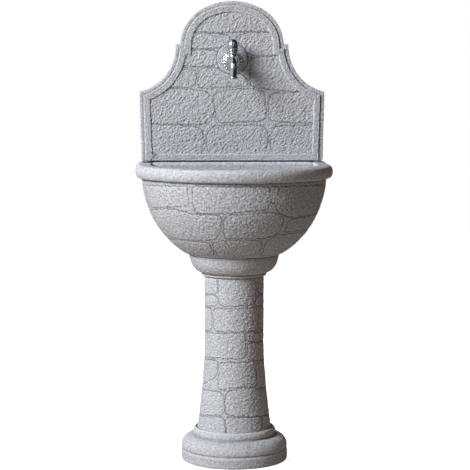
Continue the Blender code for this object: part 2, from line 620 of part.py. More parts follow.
# ---------------------------------------------------------------- waste
def make_waste():
    """The flanged waste in the basin's floor, with its strainer, seals and back nut."""
    seat = WASTE_SEAT_Z + GAP
    seal = [(0.0262, seat), (0.0362, seat), (0.0362, 0.6660), (0.0262, 0.6660)]
    turned("waste_seal_upper", RUBBER, seal, AXIS)
    body_profile = [
        (0.0185, 0.592), (0.0225, 0.592), (0.0225, WASTE_FLANGE_Z), (0.0360, WASTE_FLANGE_Z),
        (0.0360, 0.6688), (0.0350, 0.6700), (0.0315, 0.6700), (0.0315, 0.6675), (0.0185, 0.6675),
    ]
    body = turned("waste_body", CHROME, body_profile, AXIS)
    bar = boxed("waste_bar", CHROME, (-0.0205, AXIS_Y - 0.0035, 0.655), (0.0205, AXIS_Y + 0.0035, 0.663))
    combine(body, bar, "UNION")
    drill(body, 0.0028, (0, AXIS_Y, 0.65), 0.03, steps=8)
    disc = [(0, 0.6678), (0.0312, 0.6678), (0.0312, 0.6690), (0.0285, 0.6702), (0, 0.6702)]
    strainer = turned("waste_strainer", CHROME, disc, AXIS)
    drill(strainer, 0.0028, (0, AXIS_Y, 0.65), 0.03, steps=8)
    for k in range(8):
        angle = 2 * math.pi * k / 8
        at = (0.0125 * math.cos(angle), AXIS_Y + 0.0125 * math.sin(angle), 0.66)
        drill(strainer, 0.0030, at, 0.02, steps=8)
    screw = [
        (0, 0.6530), (0.0025, 0.6530), (0.0025, 0.6705), (0.0048, 0.6705), (0.0040, 0.6722),
        (0, 0.6728),
    ]
    turned("strainer_screw", STEEL, screw, AXIS, 12)
    low_seal = [(0.0228, 0.6292), (0.0420, 0.6292), (0.0420, 0.6317), (0.0228, 0.6317)]
    turned("waste_seal_lower", RUBBER, low_seal, AXIS)
    nut("waste_backnut", BRASS, 0.068, 0.0228, 0.009, (0, AXIS_Y, 0.6198))


def make_tailpipe():
    """The waste pipe down the hollow pedestal, held to the waste by a slip nut on a rubber cone."""
    slip = [
        (0.0228, 0.6030), (0.0290, 0.6020), (0.0290, 0.5820), (0.0270, 0.5810), (0.0164, 0.5810),
        (0.0164, 0.5840), (0.0228, 0.5840),
    ]
    turned("coupling_nut", PLASTIC, slip, AXIS)
    cone = [(0.0163, 0.5845), (0.0220, 0.5845), (0.0220, 0.5915), (0.0163, 0.5915)]
    turned("coupling_seal", RUBBER, cone, AXIS)
    pipe = [(0.0142, 0.010), (0.0160, 0.010), (0.0160, 0.640), (0.0142, 0.640)]
    turned("tailpipe", PLASTIC, pipe, AXIS)


# ---------------------------------------------------------------- assembly
def main():
    base = make_base()
    shaft = make_shaft()
    capital = make_capital()
    basin = make_basin()
    fit_basin_for_waste_and_pipe(basin)
    make_mortar_rings()
    make_stone_dowels(base, shaft, capital, basin)

    panel = make_panel()
    fit_panel_for_pipe_and_wall(panel)
    make_panel_dowels(panel, basin)
    make_panel_mortar()
    make_hangers()

    make_tap_body()
    make_nozzle()
    make_rosette()
    make_headwork()
    make_valve()
    make_handle()

    make_elbow()
    make_pipe()
    make_waste()
    make_tailpipe()


main()
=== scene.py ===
# %% [markdown]
# # A cast stone wall fountain
# The object is a garden drinking fountain: a pedestal, a D-shaped basin and a back panel, all cast in
# concrete stone with courses of rough blocks in relief, and one chromed bib tap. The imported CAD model
# is loaded first. It is the fixed frame: every piece below takes its place from it, and moves with it.

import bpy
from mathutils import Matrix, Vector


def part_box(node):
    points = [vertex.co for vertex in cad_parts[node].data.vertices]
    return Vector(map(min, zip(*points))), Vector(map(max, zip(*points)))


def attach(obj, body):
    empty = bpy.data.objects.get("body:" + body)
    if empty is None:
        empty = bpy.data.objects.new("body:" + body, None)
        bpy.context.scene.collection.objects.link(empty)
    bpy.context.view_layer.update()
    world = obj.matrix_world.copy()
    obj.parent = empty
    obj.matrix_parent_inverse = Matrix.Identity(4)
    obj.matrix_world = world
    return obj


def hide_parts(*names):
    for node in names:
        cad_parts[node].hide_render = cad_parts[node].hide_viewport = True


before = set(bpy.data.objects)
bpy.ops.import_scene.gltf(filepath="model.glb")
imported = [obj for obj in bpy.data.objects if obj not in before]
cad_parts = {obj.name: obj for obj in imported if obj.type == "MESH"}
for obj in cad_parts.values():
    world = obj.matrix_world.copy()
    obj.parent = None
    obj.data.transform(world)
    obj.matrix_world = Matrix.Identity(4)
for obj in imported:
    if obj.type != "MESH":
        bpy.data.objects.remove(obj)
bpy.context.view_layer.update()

# %% [markdown]
# ## Places from the frame
# The castings share one upright axis. Reading it, and the main heights, from the CAD nodes keeps the
# looks and the solids together. A maker would measure the same few heights before starting a mould.

# %% Axis and main heights
import math

import bpy
import numpy as np

base_low, base_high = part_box("pedestal_base")
shaft_low, shaft_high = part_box("pedestal_shaft")
basin_low, basin_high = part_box("basin")
panel_low, panel_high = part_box("back_panel")
AXIS_Y = (base_low.y + base_high.y) / 2
WALL_Y = basin_high.y
BORE = 0.055  # the pedestal is hollow, for the waste pipe
print(f"axis y {AXIS_Y:.4f}, wall y {WALL_Y:.4f}, panel foot {panel_low.z:.4f}")

# %% [markdown]
# ## Selecting by place
# Without a window nothing is picked by hand, so helpers do it. One makes a piece the only selected
# object. One selects the vertices or edges that pass a test, another those with given numbers, and both
# go to edit mode.

# %% Selection helpers
def only(*pieces):
    """Makes these the only selected objects, with the first one active."""
    if bpy.context.object and bpy.context.object.mode != "OBJECT":
        bpy.ops.object.mode_set(mode="OBJECT")
    bpy.ops.object.select_all(action="DESELECT")
    for piece in pieces:
        piece.select_set(True)
    bpy.context.view_layer.objects.active = pieces[0]


def clear_selection(mesh):
    """Leaves no vertex, edge or face of a mesh selected."""
    for parts in (mesh.vertices, mesh.edges, mesh.polygons):
        parts.foreach_set("select", [False] * len(parts))


def pick(piece, kind, test):
    """Selects what passes the test on its place, in edit mode, and counts it."""
    only(piece)
    mesh = piece.data
    clear_selection(mesh)
    found = 0
    if kind == "VERT":
        for vertex in mesh.vertices:
            vertex.select = bool(test(vertex.co))
            found += vertex.select
    else:
        for edge in mesh.edges:
            a, b = (mesh.vertices[i].co for i in edge.vertices)
            edge.select = bool(test(a) and test(b))
            found += edge.select
    bpy.context.tool_settings.mesh_select_mode = (kind == "VERT", kind == "EDGE", False)
    bpy.ops.object.mode_set(mode="EDIT")
    return found


def choose(piece, members, kind="VERT"):
    """Selects vertices by their numbers, or the edges that join them, in edit mode."""
    only(piece)
    mesh = piece.data
    clear_selection(mesh)
    chosen = np.zeros(len(mesh.vertices), bool)
    chosen[list(members)] = True
    mesh.vertices.foreach_set("select", chosen)
    if kind == "EDGE":
        ends = np.empty(2 * len(mesh.edges), np.int32)
        mesh.edges.foreach_get("vertices", ends)
        mesh.edges.foreach_set("select", chosen[ends].reshape(-1, 2).all(axis=1))
    bpy.context.tool_settings.mesh_select_mode = (kind == "VERT", kind == "EDGE", False)
    bpy.ops.object.mode_set(mode="EDIT")


def open_edges(piece):
    """How many edges don't join exactly two faces."""
    edges_used = np.empty(len(piece.data.loops), np.int32)
    piece.data.loops.foreach_get("edge_index", edges_used)
    return int((np.bincount(edges_used, minlength=len(piece.data.edges)) != 2).sum())


def added(name):
    """The object an operator has just added, under its own name."""
    piece = bpy.context.object
    piece.name = piece.data.name = name
    return piece


# %% [markdown]
# ## Profiles and turned shapes
# Mouldings, shaft and tap are all round, so each is drawn as a profile and spun about an upright axis.
# A profile starts as one vertex, a tiny plane merged to its centre, and is pulled from point to point
# with extrude, just as it would be drawn by hand. Long runs are divided evenly first, because the
# stone relief later needs a vertex every two or three millimetres.

# %% Trace and lathe
def trace(name, points, closed=False):
    """A line of vertices through the points, each pulled out of the one before."""
    if bpy.context.object and bpy.context.object.mode != "OBJECT":
        bpy.ops.object.mode_set(mode="OBJECT")
    bpy.ops.object.select_all(action="DESELECT")
    bpy.ops.mesh.primitive_plane_add(size=0.001, location=(0, 0, 0))
    piece = added(name)
    bpy.context.tool_settings.mesh_select_mode = (True, False, False)
    bpy.ops.object.mode_set(mode="EDIT")
    bpy.ops.mesh.select_all(action="SELECT")
    bpy.ops.mesh.merge(type="CENTER")
    here = points[0]
    bpy.ops.transform.translate(value=here)
    for point in points[1:]:
        step = [b - a for a, b in zip(here, point)]
        bpy.ops.mesh.extrude_region_move(TRANSFORM_OT_translate={"value": step})
        here = point
    if closed:
        choose(piece, (0, len(points) - 1))
        bpy.ops.mesh.edge_face_add()
    bpy.ops.object.mode_set(mode="OBJECT")
    return piece


def even(points, spacing):
    """The same line with its long runs divided into steps of about the spacing."""
    line = [tuple(points[0])]
    for a, b in zip(points, points[1:]):
        steps = max(1, math.ceil(math.dist(a, b) / spacing))
        line += [tuple(p + (q - p) * k / steps for p, q in zip(a, b)) for k in range(1, steps + 1)]
    return line


def close_up(piece):
    """Merges doubled vertices, as at a pole or a seam, and turns every face outwards."""
    pick(piece, "VERT", lambda co: True)
    bpy.ops.mesh.remove_doubles(threshold=2e-6)
    bpy.ops.mesh.normals_make_consistent(inside=False)
    bpy.ops.object.mode_set(mode="OBJECT")
    return piece


def lathe(name, profile, steps, centre_y=None, closed=False):
    """The profile, given as radius and height, spun once about an upright axis."""
    y = AXIS_Y if centre_y is None else centre_y
    piece = trace(name, [(r, y, z) for r, z in profile], closed)
    pick(piece, "VERT", lambda co: True)
    bpy.ops.mesh.spin(steps=steps, angle=2 * math.pi, center=(0, y, 0), axis=(0, 0, 1))
    return close_up(piece)


# %% [markdown]
# ## Rough blocks in relief
# The moulds were made from real rubble masonry, so each casting carries blocks with worn corners that
# stand a few millimetres over their joints. Cutting each joint by hand would take a day. Here each
# block is an outline on the unrolled surface. Its corners are cut again and again until they are
# round, and every vertex gets a height from its distance to the outline. The heights are kept as a
# vertex group, which then drives a Displace modifier, so the joints are real geometry.

# %% Block outlines to heights
def worn(outline, cut):
    """The outline with its corners cut three times, each time by less."""
    points = np.array(outline, float)
    for reach in (cut, 0.45 * cut, 0.2 * cut):
        after = np.roll(points, -1, axis=0)
        length = np.maximum(np.linalg.norm(after - points, axis=1), 1e-9)[:, None]
        share = np.minimum(reach / length, 0.33)
        pair = [points + share * (after - points), after - share * (after - points)]
        points = np.stack(pair, axis=1).reshape(-1, 2)
    return points


FAR_OUTSIDE, NEAR = -0.02, 0.008  # metres: the depth away from all blocks, and how far a block is felt


def block_heights(u, v, outlines, edge=0.0034, cut=0.009, grow=0.0008, mortar=0.62):
    """1 on a block, 0 in the groove round it, and the mortar's height beyond the groove."""
    u = u + 0.0011 * np.sin(190 * v + 3) + 0.0006 * np.sin(430 * v + 260 * u)
    v = v + 0.0011 * np.sin(170 * u + 1) + 0.0006 * np.sin(390 * u - 240 * v)
    depth = np.full(len(u), FAR_OUTSIDE)
    for outline in outlines:
        ring = worn(outline, cut)
        (u0, v0), (u1, v1) = ring.min(axis=0) - NEAR, ring.max(axis=0) + NEAR
        near = np.flatnonzero((u > u0) & (u < u1) & (v > v0) & (v < v1))
        x, y = u[near], v[near]
        inside, gap = np.zeros(len(near), bool), np.full(len(near), 1.0)
        for (ax, ay), (bx, by) in zip(ring, np.roll(ring, -1, axis=0)):
            dx, dy = bx - ax, by - ay
            if dy:
                inside ^= ((ay > y) != (by > y)) & (x < dx * (y - ay) / dy + ax)
            along = np.clip(((x - ax) * dx + (y - ay) * dy) / (dx * dx + dy * dy + 1e-12), 0, 1)
            gap = np.minimum(gap, np.hypot(x - ax - along * dx, y - ay - along * dy))
        depth[near] = np.maximum(depth[near], np.where(inside, gap, -gap))
    rise = np.clip((depth + grow) / edge, 0, 1)
    rise = rise * rise * (3 - 2 * rise) * (0.88 + 0.12 * np.clip(depth / 0.02, 0, 1))
    bed = np.clip((-depth - 0.0014) / 0.0024, 0, 1)
    return np.maximum(rise, mortar * bed * bed * (3 - 2 * bed))


def corners(piece):
    """All vertex places of a piece, as one array."""
    places = np.empty(3 * len(piece.data.vertices))
    piece.data.vertices.foreach_get("co", places)
    return places.reshape(-1, 3)


def keep_group(piece, name, weights):
    """Stores the weights as a vertex group for modifiers, in fifty steps."""
    group = piece.vertex_groups.new(name=name)
    levels = np.round(np.clip(weights, 0, 1) * 50).astype(int)
    for level in range(1, 51):
        members = np.flatnonzero(levels == level)
        if len(members):
            group.add(members.tolist(), level / 50, "REPLACE")


def keep_sunk(piece, depth):
    """Stores how deep each point lies in a joint, for the stone's material."""
    values = piece.data.attributes.new("sunk", "FLOAT", "POINT")
    values.data.foreach_set("value", np.clip(depth, 0, 1).astype(np.float32))


# %% [markdown]
# ## The broken face of the stone
# Between its joints the casting shows the mould's rough, pitted rubble: wrinkles five to ten
# millimetres long, and small pits. Two Displace modifiers cut them in with procedural clouds, the
# larger one stretched along a diagonal, as a bolster chisel leaves them. A third gives a casting its
# slight swells. They cut inwards, all but their highest tones, so the piece keeps its size to about a
# millimetre. Afterwards Dirty Vertex Colors paints shade into the hollows and highlights onto the high
# points, darkening what lies below its neighbours and lightening what stands above them.

# %% Relief by displacement
bpy.ops.object.select_all(action="DESELECT")
bpy.ops.object.empty_add(location=(0, 0, 0), rotation=(0, math.radians(-38), 0))
chisel = bpy.context.object
chisel.name = "chisel_direction"
chisel.scale = (1.9, 1.2, 0.85)


def clouds(name, size, contrast, depth=2):
    """A clouds texture whose features are about the given size, in metres."""
    texture = bpy.data.textures.new(name, "CLOUDS")
    texture.noise_scale = size
    texture.noise_depth = depth
    texture.contrast = contrast
    return texture


JOINT_DEPTH = 0.0022
WRINKLES = clouds("chisel_wrinkles", 0.0058, 1.7)
PITS = clouds("casting_pits", 0.0036, 1.7, 1)
SWELLS = clouds("mould_swells", 0.045, 1.2, 1)


def displace(piece, strength, group, texture=None, level=1.0, stretched=False):
    """Pushes the surface along its normals, and applies the push at once."""
    only(piece)
    change = piece.modifiers.new("relief", "DISPLACE")
    change.strength, change.mid_level = strength, level if texture else 0.0
    change.vertex_group = group
    if texture:
        change.texture = texture
        change.texture_coords = "OBJECT" if stretched else "LOCAL"
        if stretched:
            change.texture_coords_object = chisel
    bpy.ops.object.modifier_apply(modifier=change.name)


def roughen(piece, group, swells=0.0, wrinkles=0.0, pits=0.0, stretched=True):
    """Swells, then wrinkles, then pits, each cut in as deep as given."""
    for depth, texture in ((swells, SWELLS), (wrinkles, WRINKLES), (pits, PITS)):
        if depth:
            displace(piece, depth, group, texture, stretched=stretched and texture == WRINKLES)


def paint_relief_shading(piece):
    """Painted shade in the hollows and painted highlights on the high points, as a colour attribute that
    the stone's material reads.
    """
    only(piece)
    bpy.ops.geometry.color_attribute_add(name="relief_shading", domain="POINT", data_type="FLOAT_COLOR",
                                         color=(1, 1, 1, 1))
    bpy.ops.paint.vertex_color_dirt(blur_strength=0.6, blur_iterations=1, clean_angle=math.pi,
                                    dirt_angle=0, dirt_only=False, normalize=True)
    tones = np.empty(4 * len(piece.data.vertices), np.float32)
    piece.data.color_attributes["relief_shading"].data.foreach_get("color", tones)
    tones = tones.reshape(-1, 4)[:, 0]
    low, middle, high = np.percentile(tones, (8, 50, 92))
    spread = np.clip(0.5 + 0.5 * (tones - middle) / max(middle - low, high - middle, 1e-6), 0, 1)
    colours = np.repeat(spread[:, None], 4, axis=1).astype(np.float32)
    piece.data.color_attributes["relief_shading"].data.foreach_set("color", colours.ravel())


# %% [markdown]
# ## Cast stone
# Cast stone is cement with crushed marble and sand, tamped into a mould and left unpolished. It is
# pale grey with a little blue, quite matt, and speckled by its grit. Painted shade darkens its joints and
# pits, and painted highlights keep its high points and its blocks' edges pale, the edges partly as wear.
# The material adds these up from the attributes painted above, from clouds 110 mm and a mottle 15 mm wide,
# from pits of 5 mm, and from grit drawn 1.5 mm wide, about twice the real size, so that it shows.

# %% Colour and node helpers
def linear(hex_code, alpha=1.0):
    """An sRGB hex colour as the linear RGBA that shaders take."""
    parts = [int(hex_code[k:k + 2], 16) / 255 for k in (1, 3, 5)]
    return (*[c / 12.92 if c <= 0.04045 else ((c + 0.055) / 1.055) ** 2.4 for c in parts], alpha)


def add_node(material, kind, settings=None, **inputs):
    """Adds a node, sets its properties and inputs, and links the inputs that are sockets."""
    node = material.node_tree.nodes.new(kind)
    for name, value in (settings or {}).items():
        setattr(node, name, value)
    for name, value in inputs.items():
        name = int(name[1:]) if name[0] == "n" and name[1:].isdigit() else name.replace("_", " ")
        if isinstance(value, bpy.types.NodeSocket):
            material.node_tree.links.new(value, node.inputs[name])
        else:
            node.inputs[name].default_value = value
    return node


def new_material(name):
    """An empty node material with its output and shader."""
    material = bpy.data.materials.new(name)
    material.use_nodes = True
    material.node_tree.nodes.clear()
    shader = add_node(material, "ShaderNodeBsdfPrincipled")
    add_node(material, "ShaderNodeOutputMaterial", Surface=shader.outputs["BSDF"])
    return material, shader


def ramp(material, factor, *stops):
    """A colour ramp through stops of place and hex colour."""
    node = add_node(material, "ShaderNodeValToRGB", Fac=factor)
    elements = node.color_ramp.elements
    for _ in stops[2:]:
        elements.new(0.5)
    for element, (place, colour) in zip(elements, stops):
        element.position, element.color = place, linear(colour)
    return node.outputs["Color"]


MM = 1000.0

# %% Cast stone material
def cast_stone(name, pale, middle, dark, mottle_mm=15, grit_mm=1.5):
    """Unpolished cast stone: painted highlights on high points, a mottled middle tone, and painted shade in
    pits and joints.
    """
    material, shader = new_material(name)
    link = material.node_tree.links.new
    place = add_node(material, "ShaderNodeTexCoord").outputs["Object"]
    mottle = add_node(material, "ShaderNodeTexNoise", Vector=place, Scale=MM / mottle_mm, Detail=4.0,
                      Roughness=0.6)
    grit = add_node(material, "ShaderNodeTexNoise", Vector=place, Scale=MM / grit_mm, Detail=2.0,
                    Roughness=0.7)
    pits = add_node(material, "ShaderNodeTexNoise", Vector=place, Scale=MM / 5.0, Detail=3.0,
                    Roughness=0.65)
    cloud = add_node(material, "ShaderNodeTexNoise", Vector=place, Scale=MM / 110, Detail=2.0)
    # Painted shade in the hollows and painted highlights on the high points, from Dirty Vertex Colors.
    relief_shading = add_node(material, "ShaderNodeAttribute", {"attribute_name": "relief_shading"})
    sunk = add_node(material, "ShaderNodeAttribute", {"attribute_name": "sunk"})
    # Painted highlight, partly also wear, along the blocks' edges: pale a little way into each joint.
    edge_wear_and_highlight = ramp(material, sunk.outputs["Fac"], (0.0, "#000000"), (0.30, "#FFFFFF"), (0.75, "#000000"))
    tone = -0.79
    # Painted shade: the joints darken with their depth, and the pits darken with the noise that also sinks
    # them in the bump.
    for source, share in ((relief_shading.outputs["Fac"], 0.66), (mottle.outputs["Fac"], 0.30),
                          (grit.outputs["Fac"], 0.34), (cloud.outputs["Fac"], 0.12),
                          (sunk.outputs["Fac"], -0.30), (edge_wear_and_highlight, 0.15), (pits.outputs["Fac"], 1.2)):
        added_up = add_node(material, "ShaderNodeMath", {"operation": "MULTIPLY_ADD"}, n0=source, n1=share,
                            n2=tone)
        tone = added_up.outputs[0]
    base = ramp(material, tone, (0.0, dark), (0.30, middle), (0.62, pale), (1.0, "#E9EAEC"))
    link(base, shader.inputs["Base Color"])
    shader.inputs["Roughness"].default_value = 0.93
    shader.inputs["Specular IOR Level"].default_value = 0.28
    rough = add_node(material, "ShaderNodeBump", Height=pits.outputs["Fac"], Strength=1.0,
                     Distance=0.0042)
    fine = add_node(material, "ShaderNodeBump", Height=grit.outputs["Fac"], Strength=0.5,
                    Distance=0.0007, Normal=rough.outputs["Normal"])
    link(fine.outputs["Normal"], shader.inputs["Normal"])
    return material


STONE = cast_stone("cast_stone_unpolished", "#C5C7CC", "#A4A6AB", "#5E5E60")
print("cast stone nodes:", len(STONE.node_tree.nodes))


# %% Finishing helper
def finish(piece, body, slot, material, *nodes, angle=None):
    """Shades a piece, gives it its material, hangs it on its body, and hides the CAD nodes whose place it
    takes.
    """
    only(piece)
    if angle is None:
        bpy.ops.object.shade_smooth()
    else:
        bpy.ops.object.shade_smooth_by_angle(angle=math.radians(angle))
    piece.data.materials.clear()
    piece.data.materials.append(material)
    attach(piece, body)
    if nodes:
        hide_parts(*nodes)
        low = np.min([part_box(n)[0] for n in nodes], axis=0)
        high = np.max([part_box(n)[1] for n in nodes], axis=0)
        over = max((low - corners(piece).min(axis=0)).max(), (corners(piece).max(axis=0) - high).max())
        print(f"{piece.name}: {len(piece.data.polygons)} faces, {open_edges(piece)} open edges, "
              f"{1000 * over:+.2f} mm past its CAD box")
    return piece


# %% [markdown]
# ## The pedestal's foot
# A round plinth carries a swelling torus and a collar that holds the shaft. It was swept in the mould
# with a template, so a lathe profile is the natural way. The mouldings are smoother than the blocks,
# with only pits and slight swells.

# %% Turned castings
def turned_stone(name, outside, steps, spacing=0.0026):
    """A hollow turned casting: its outside profile, closed through the bore."""
    foot, top = outside[0][1], outside[-1][1]
    line = even([(BORE, foot), *outside, (BORE, top)], spacing)
    return lathe(name, line, steps, closed=True)


def outer_weights(piece, fade=0.004):
    """1 on the outside of a turned casting, falling to 0 at its joints, and 0 in its bore."""
    places = corners(piece)
    radius = np.hypot(places[:, 0], places[:, 1] - AXIS_Y)
    low, high = places[:, 2].min(), places[:, 2].max()
    keep = (radius > BORE + 0.012).astype(float)
    ends = np.minimum(places[:, 2] - low, high - places[:, 2])
    return keep * np.clip(ends / fade, 0, 1)


def finish_stone(piece, *nodes, angle=None):
    """Painted shade in the hollows and painted highlights on the high points, then the stone's finish."""
    paint_relief_shading(piece)
    return finish(piece, "fountain", "cast_stone", STONE, *nodes, angle=angle)


# %% Foot
foot_profile = [
    (0.158, 0.0), (0.162, 0.002), (0.1637, 0.007), (0.1637, 0.030), (0.1625, 0.034), (0.160, 0.0362),
    (0.1618, 0.038), (0.1634, 0.042), (0.1632, 0.048), (0.1616, 0.055), (0.1584, 0.0618),
    (0.1536, 0.0680), (0.1472, 0.0730), (0.140, 0.0762), (0.1335, 0.0774), (0.1272, 0.0778),
    (0.1264, 0.0790), (0.1272, 0.0808), (0.1284, 0.0850), (0.1280, 0.0905), (0.1264, 0.0950),
    (0.124, 0.0980), (0.121, 0.0998), (0.1185, 0.1004), (0.1165, 0.0994), (0.1165, 0.095),
]
foot = turned_stone("foot_casting", foot_profile, 360)
keep_group(foot, "face", outer_weights(foot))
roughen(foot, "face", swells=0.0016, wrinkles=0.0010, pits=0.0009)
finish_stone(foot, "pedestal_base")

# %% [markdown]
# ## The shaft
# Its blocks run in six courses of uneven height, two to four blocks to a course. Outlines are written
# as a turn in degrees from the front, to the right, and a height in millimetres. The front half's
# layout is repeated, turned half round, for the back. On the shaft a degree is 1.6 mm, so both are
# turned to metres on the unrolled surface.

# %% Shaft blocks
SHAFT_BLOCKS = [
    [(-88, 561), (-38, 567), (-38, 518), (-88, 510)],
    [(-34, 567), (44, 566), (44, 509), (37, 484), (-33, 483)],
    [(51, 565), (88, 561), (88, 511), (52, 516)], [(-88, 506), (-37, 514), (-36, 482), (-88, 473)],
    [(49, 511), (88, 506), (88, 473), (41, 480)], [(-88, 467), (-53, 473), (-51, 406), (-88, 399)],
    [(-47, 473), (48, 474), (50, 405), (-45, 405)], [(54, 473), (88, 468), (88, 399), (55, 405)],
    [(-88, 393), (19, 402), (20, 323), (-34, 325), (-88, 317)],
    [(23, 401), (88, 393), (88, 368), (42, 371), (23, 374)], [(25, 368), (88, 364), (88, 307), (24, 318)],
    [(-88, 308), (-36, 317), (-36, 268), (-88, 226)],
    [(-32, 311), (42, 311), (42, 241), (39, 235), (11, 239), (-13, 235), (-32, 226)],
    [(46, 311), (88, 303), (88, 222), (43, 230)],
    [(-88, 218), (-32, 222), (-21, 215), (-19, 155), (-88, 139)],
    [(-18, 220), (4, 233), (27, 233), (88, 208), (88, 138), (-17, 155)],
    [(-88, 133), (-20, 148), (-16, 98), (-88, 86)], [(-17, 148), (50, 142), (41, 90), (-14, 90)],
    [(54, 140), (88, 133), (88, 86), (45, 90)],
]


def shaft_radius(z):
    """Straight above 0.36 m, and flaring below it to the foot."""
    return 0.0918 + 0.181 * max(0.0, 0.36 - z) ** 1.55


# %% Shaft
rows = np.linspace(shaft_low.z, shaft_high.z, 172)
shaft = turned_stone("shaft_casting", [(shaft_radius(z) - JOINT_DEPTH, z) for z in rows], 236)
weights, places = outer_weights(shaft, 0.003), corners(shaft)
turn = np.degrees(np.arctan2(places[:, 0], AXIS_Y - places[:, 1]))
METRES_PER_DEGREE = math.radians(1) * 0.0945  # round the shaft
unrolled = [[(t * METRES_PER_DEGREE, z / 1000) for t, z in block] for block in SHAFT_BLOCKS]
front = block_heights(turn * METRES_PER_DEGREE, places[:, 2], unrolled, cut=0.008)
behind = (turn + 360) % 360 - 180
back = block_heights(behind * METRES_PER_DEGREE, places[:, 2], unrolled, cut=0.008)
blocks = np.where(np.abs(turn) < 89, front, back)
keep_group(shaft, "blocks", weights * blocks)
keep_group(shaft, "face", weights * (0.25 + 0.75 * blocks))
keep_sunk(shaft, weights * (1 - blocks))
displace(shaft, JOINT_DEPTH, "blocks")
roughen(shaft, "face", wrinkles=0.0020, pits=0.0016)
finish_stone(shaft, "pedestal_shaft")

# %% [markdown]
# ## The capital
# A thin fillet under an ovolo spreads the shaft's top to the basin. Like the foot it is a smooth
# moulding, so it is turned the same way.

# %% Capital
capital_profile = [
    (0.0925, 0.566), (0.0955, 0.5664), (0.0985, 0.5676), (0.1000, 0.5698), (0.1000, 0.5724),
    (0.0986, 0.5744), (0.1010, 0.5756), (0.1060, 0.5772), (0.1115, 0.5796), (0.1165, 0.5832),
    (0.1210, 0.5880), (0.1255, 0.5940), (0.1295, 0.6005), (0.1325, 0.6075), (0.1345, 0.6140),
    (0.1362, 0.6215), (0.137, 0.629),
]
capital = turned_stone("capital_casting", capital_profile, 300, 0.0022)
keep_group(capital, "face", outer_weights(capital, 0.002))
roughen(capital, "face", swells=0.0012, wrinkles=0.0009, pits=0.0007)
finish_stone(capital, "capital")

# %% [markdown]
# ## The basin
# From above the basin is a D: half round in front, straight sides to a flat back. Its profile is drawn
# once at the wall, pulled forward along the straight side, spun half round through the front, and
# pulled back to the wall. Three faces then close the top, the foot and the back, and the inside is
# cut with a second, smaller D. That way the blocks run round the bend without a seam.

# %% Basin outside
BOWL_RADIUS, BOWL_TOP, SQUARISH = 0.2825, 0.861, 2.15
ROW_STEP = 0.0028  # metres along the profile, close enough for the relief


def bowl_radius(z):
    """The bowl's outside, a squarish quarter of an ellipse."""
    share = min(1.0, max(0.0, (0.900 - z) / 0.302))
    return BOWL_RADIUS * (1 - share**SQUARISH) ** (1 / SQUARISH)


heights = [basin_low.z]
while heights[-1] < BOWL_TOP:
    z = heights[-1]
    slope = (bowl_radius(z + 0.001) - bowl_radius(z)) / 0.001
    heights.append(min(BOWL_TOP, z + ROW_STEP / math.hypot(1, slope)))
bowl_line = [(bowl_radius(z) - JOINT_DEPTH, z) for z in heights]
rim_line = even([
    (0.2812, 0.8612), (0.2840, 0.8613), (0.2885, 0.8622), (0.2920, 0.8638), (0.2948, 0.8662),
    (0.2970, 0.8698), (0.2985, 0.8740), (0.2996, 0.8790), (0.2998, 0.8840), (0.2992, 0.8892),
    (0.2975, 0.8940), (0.2948, 0.8984), (0.2910, 0.9016), (0.2862, 0.9034), (0.2800, 0.9040),
    (0.2300, 0.9040),
], 0.0030)
profile = bowl_line + rim_line
basin = trace("basin_casting", [(r, WALL_Y, z) for r, z in profile])
pick(basin, "VERT", lambda co: True)
SIDE_ROWS = 54
pull = (AXIS_Y - WALL_Y) / SIDE_ROWS
for _ in range(SIDE_ROWS):
    bpy.ops.mesh.extrude_region_move(TRANSFORM_OT_translate={"value": (0, pull, 0)})
bpy.ops.mesh.spin(steps=310, angle=math.pi, center=(0, AXIS_Y, 0), axis=(0, 0, 1))
for _ in range(SIDE_ROWS):
    bpy.ops.mesh.extrude_region_move(TRANSFORM_OT_translate={"value": (0, -pull, 0)})
bpy.ops.object.mode_set(mode="OBJECT")
print("basin outside:", len(basin.data.vertices), "vertices, x from",
      round(corners(basin)[:, 0].min(), 4), "to", round(corners(basin)[:, 0].max(), 4))

# %% Close the basin
def cap(piece, test):
    """One face over an open edge loop, whose vertices pass the test."""
    found = pick(piece, "VERT", test)
    bpy.ops.mesh.edge_face_add()
    bpy.ops.object.mode_set(mode="OBJECT")
    return found


top_z, foot_z = profile[-1][1], profile[0][1]
inner_edge, foot_edge = profile[-1][0], profile[0][0]


def on_loop(co, radius, z):
    """Whether a point lies on the level D of this radius at this height."""
    reach = math.hypot(co.x, co.y - AXIS_Y) if co.y < AXIS_Y else abs(co.x)
    return abs(co.z - z) < 1e-5 and abs(reach - radius) < 2e-5


cap(basin, lambda co: on_loop(co, inner_edge, top_z))
cap(basin, lambda co: on_loop(co, foot_edge, foot_z))
pick(basin, "EDGE", lambda co: abs(co.y - WALL_Y) < 1e-5)
bpy.ops.mesh.edge_face_add()
bpy.ops.object.mode_set(mode="OBJECT")
close_up(basin)
print("closed basin:", open_edges(basin), "open edges")

# %% [markdown]
# ## Blocks round the bowl
# The bowl's blocks are written as turn and height too. Its face curves under, so heights are measured
# along the profile, and turns along the local circle. Behind the widest point the turn goes on as a
# distance along the straight side.

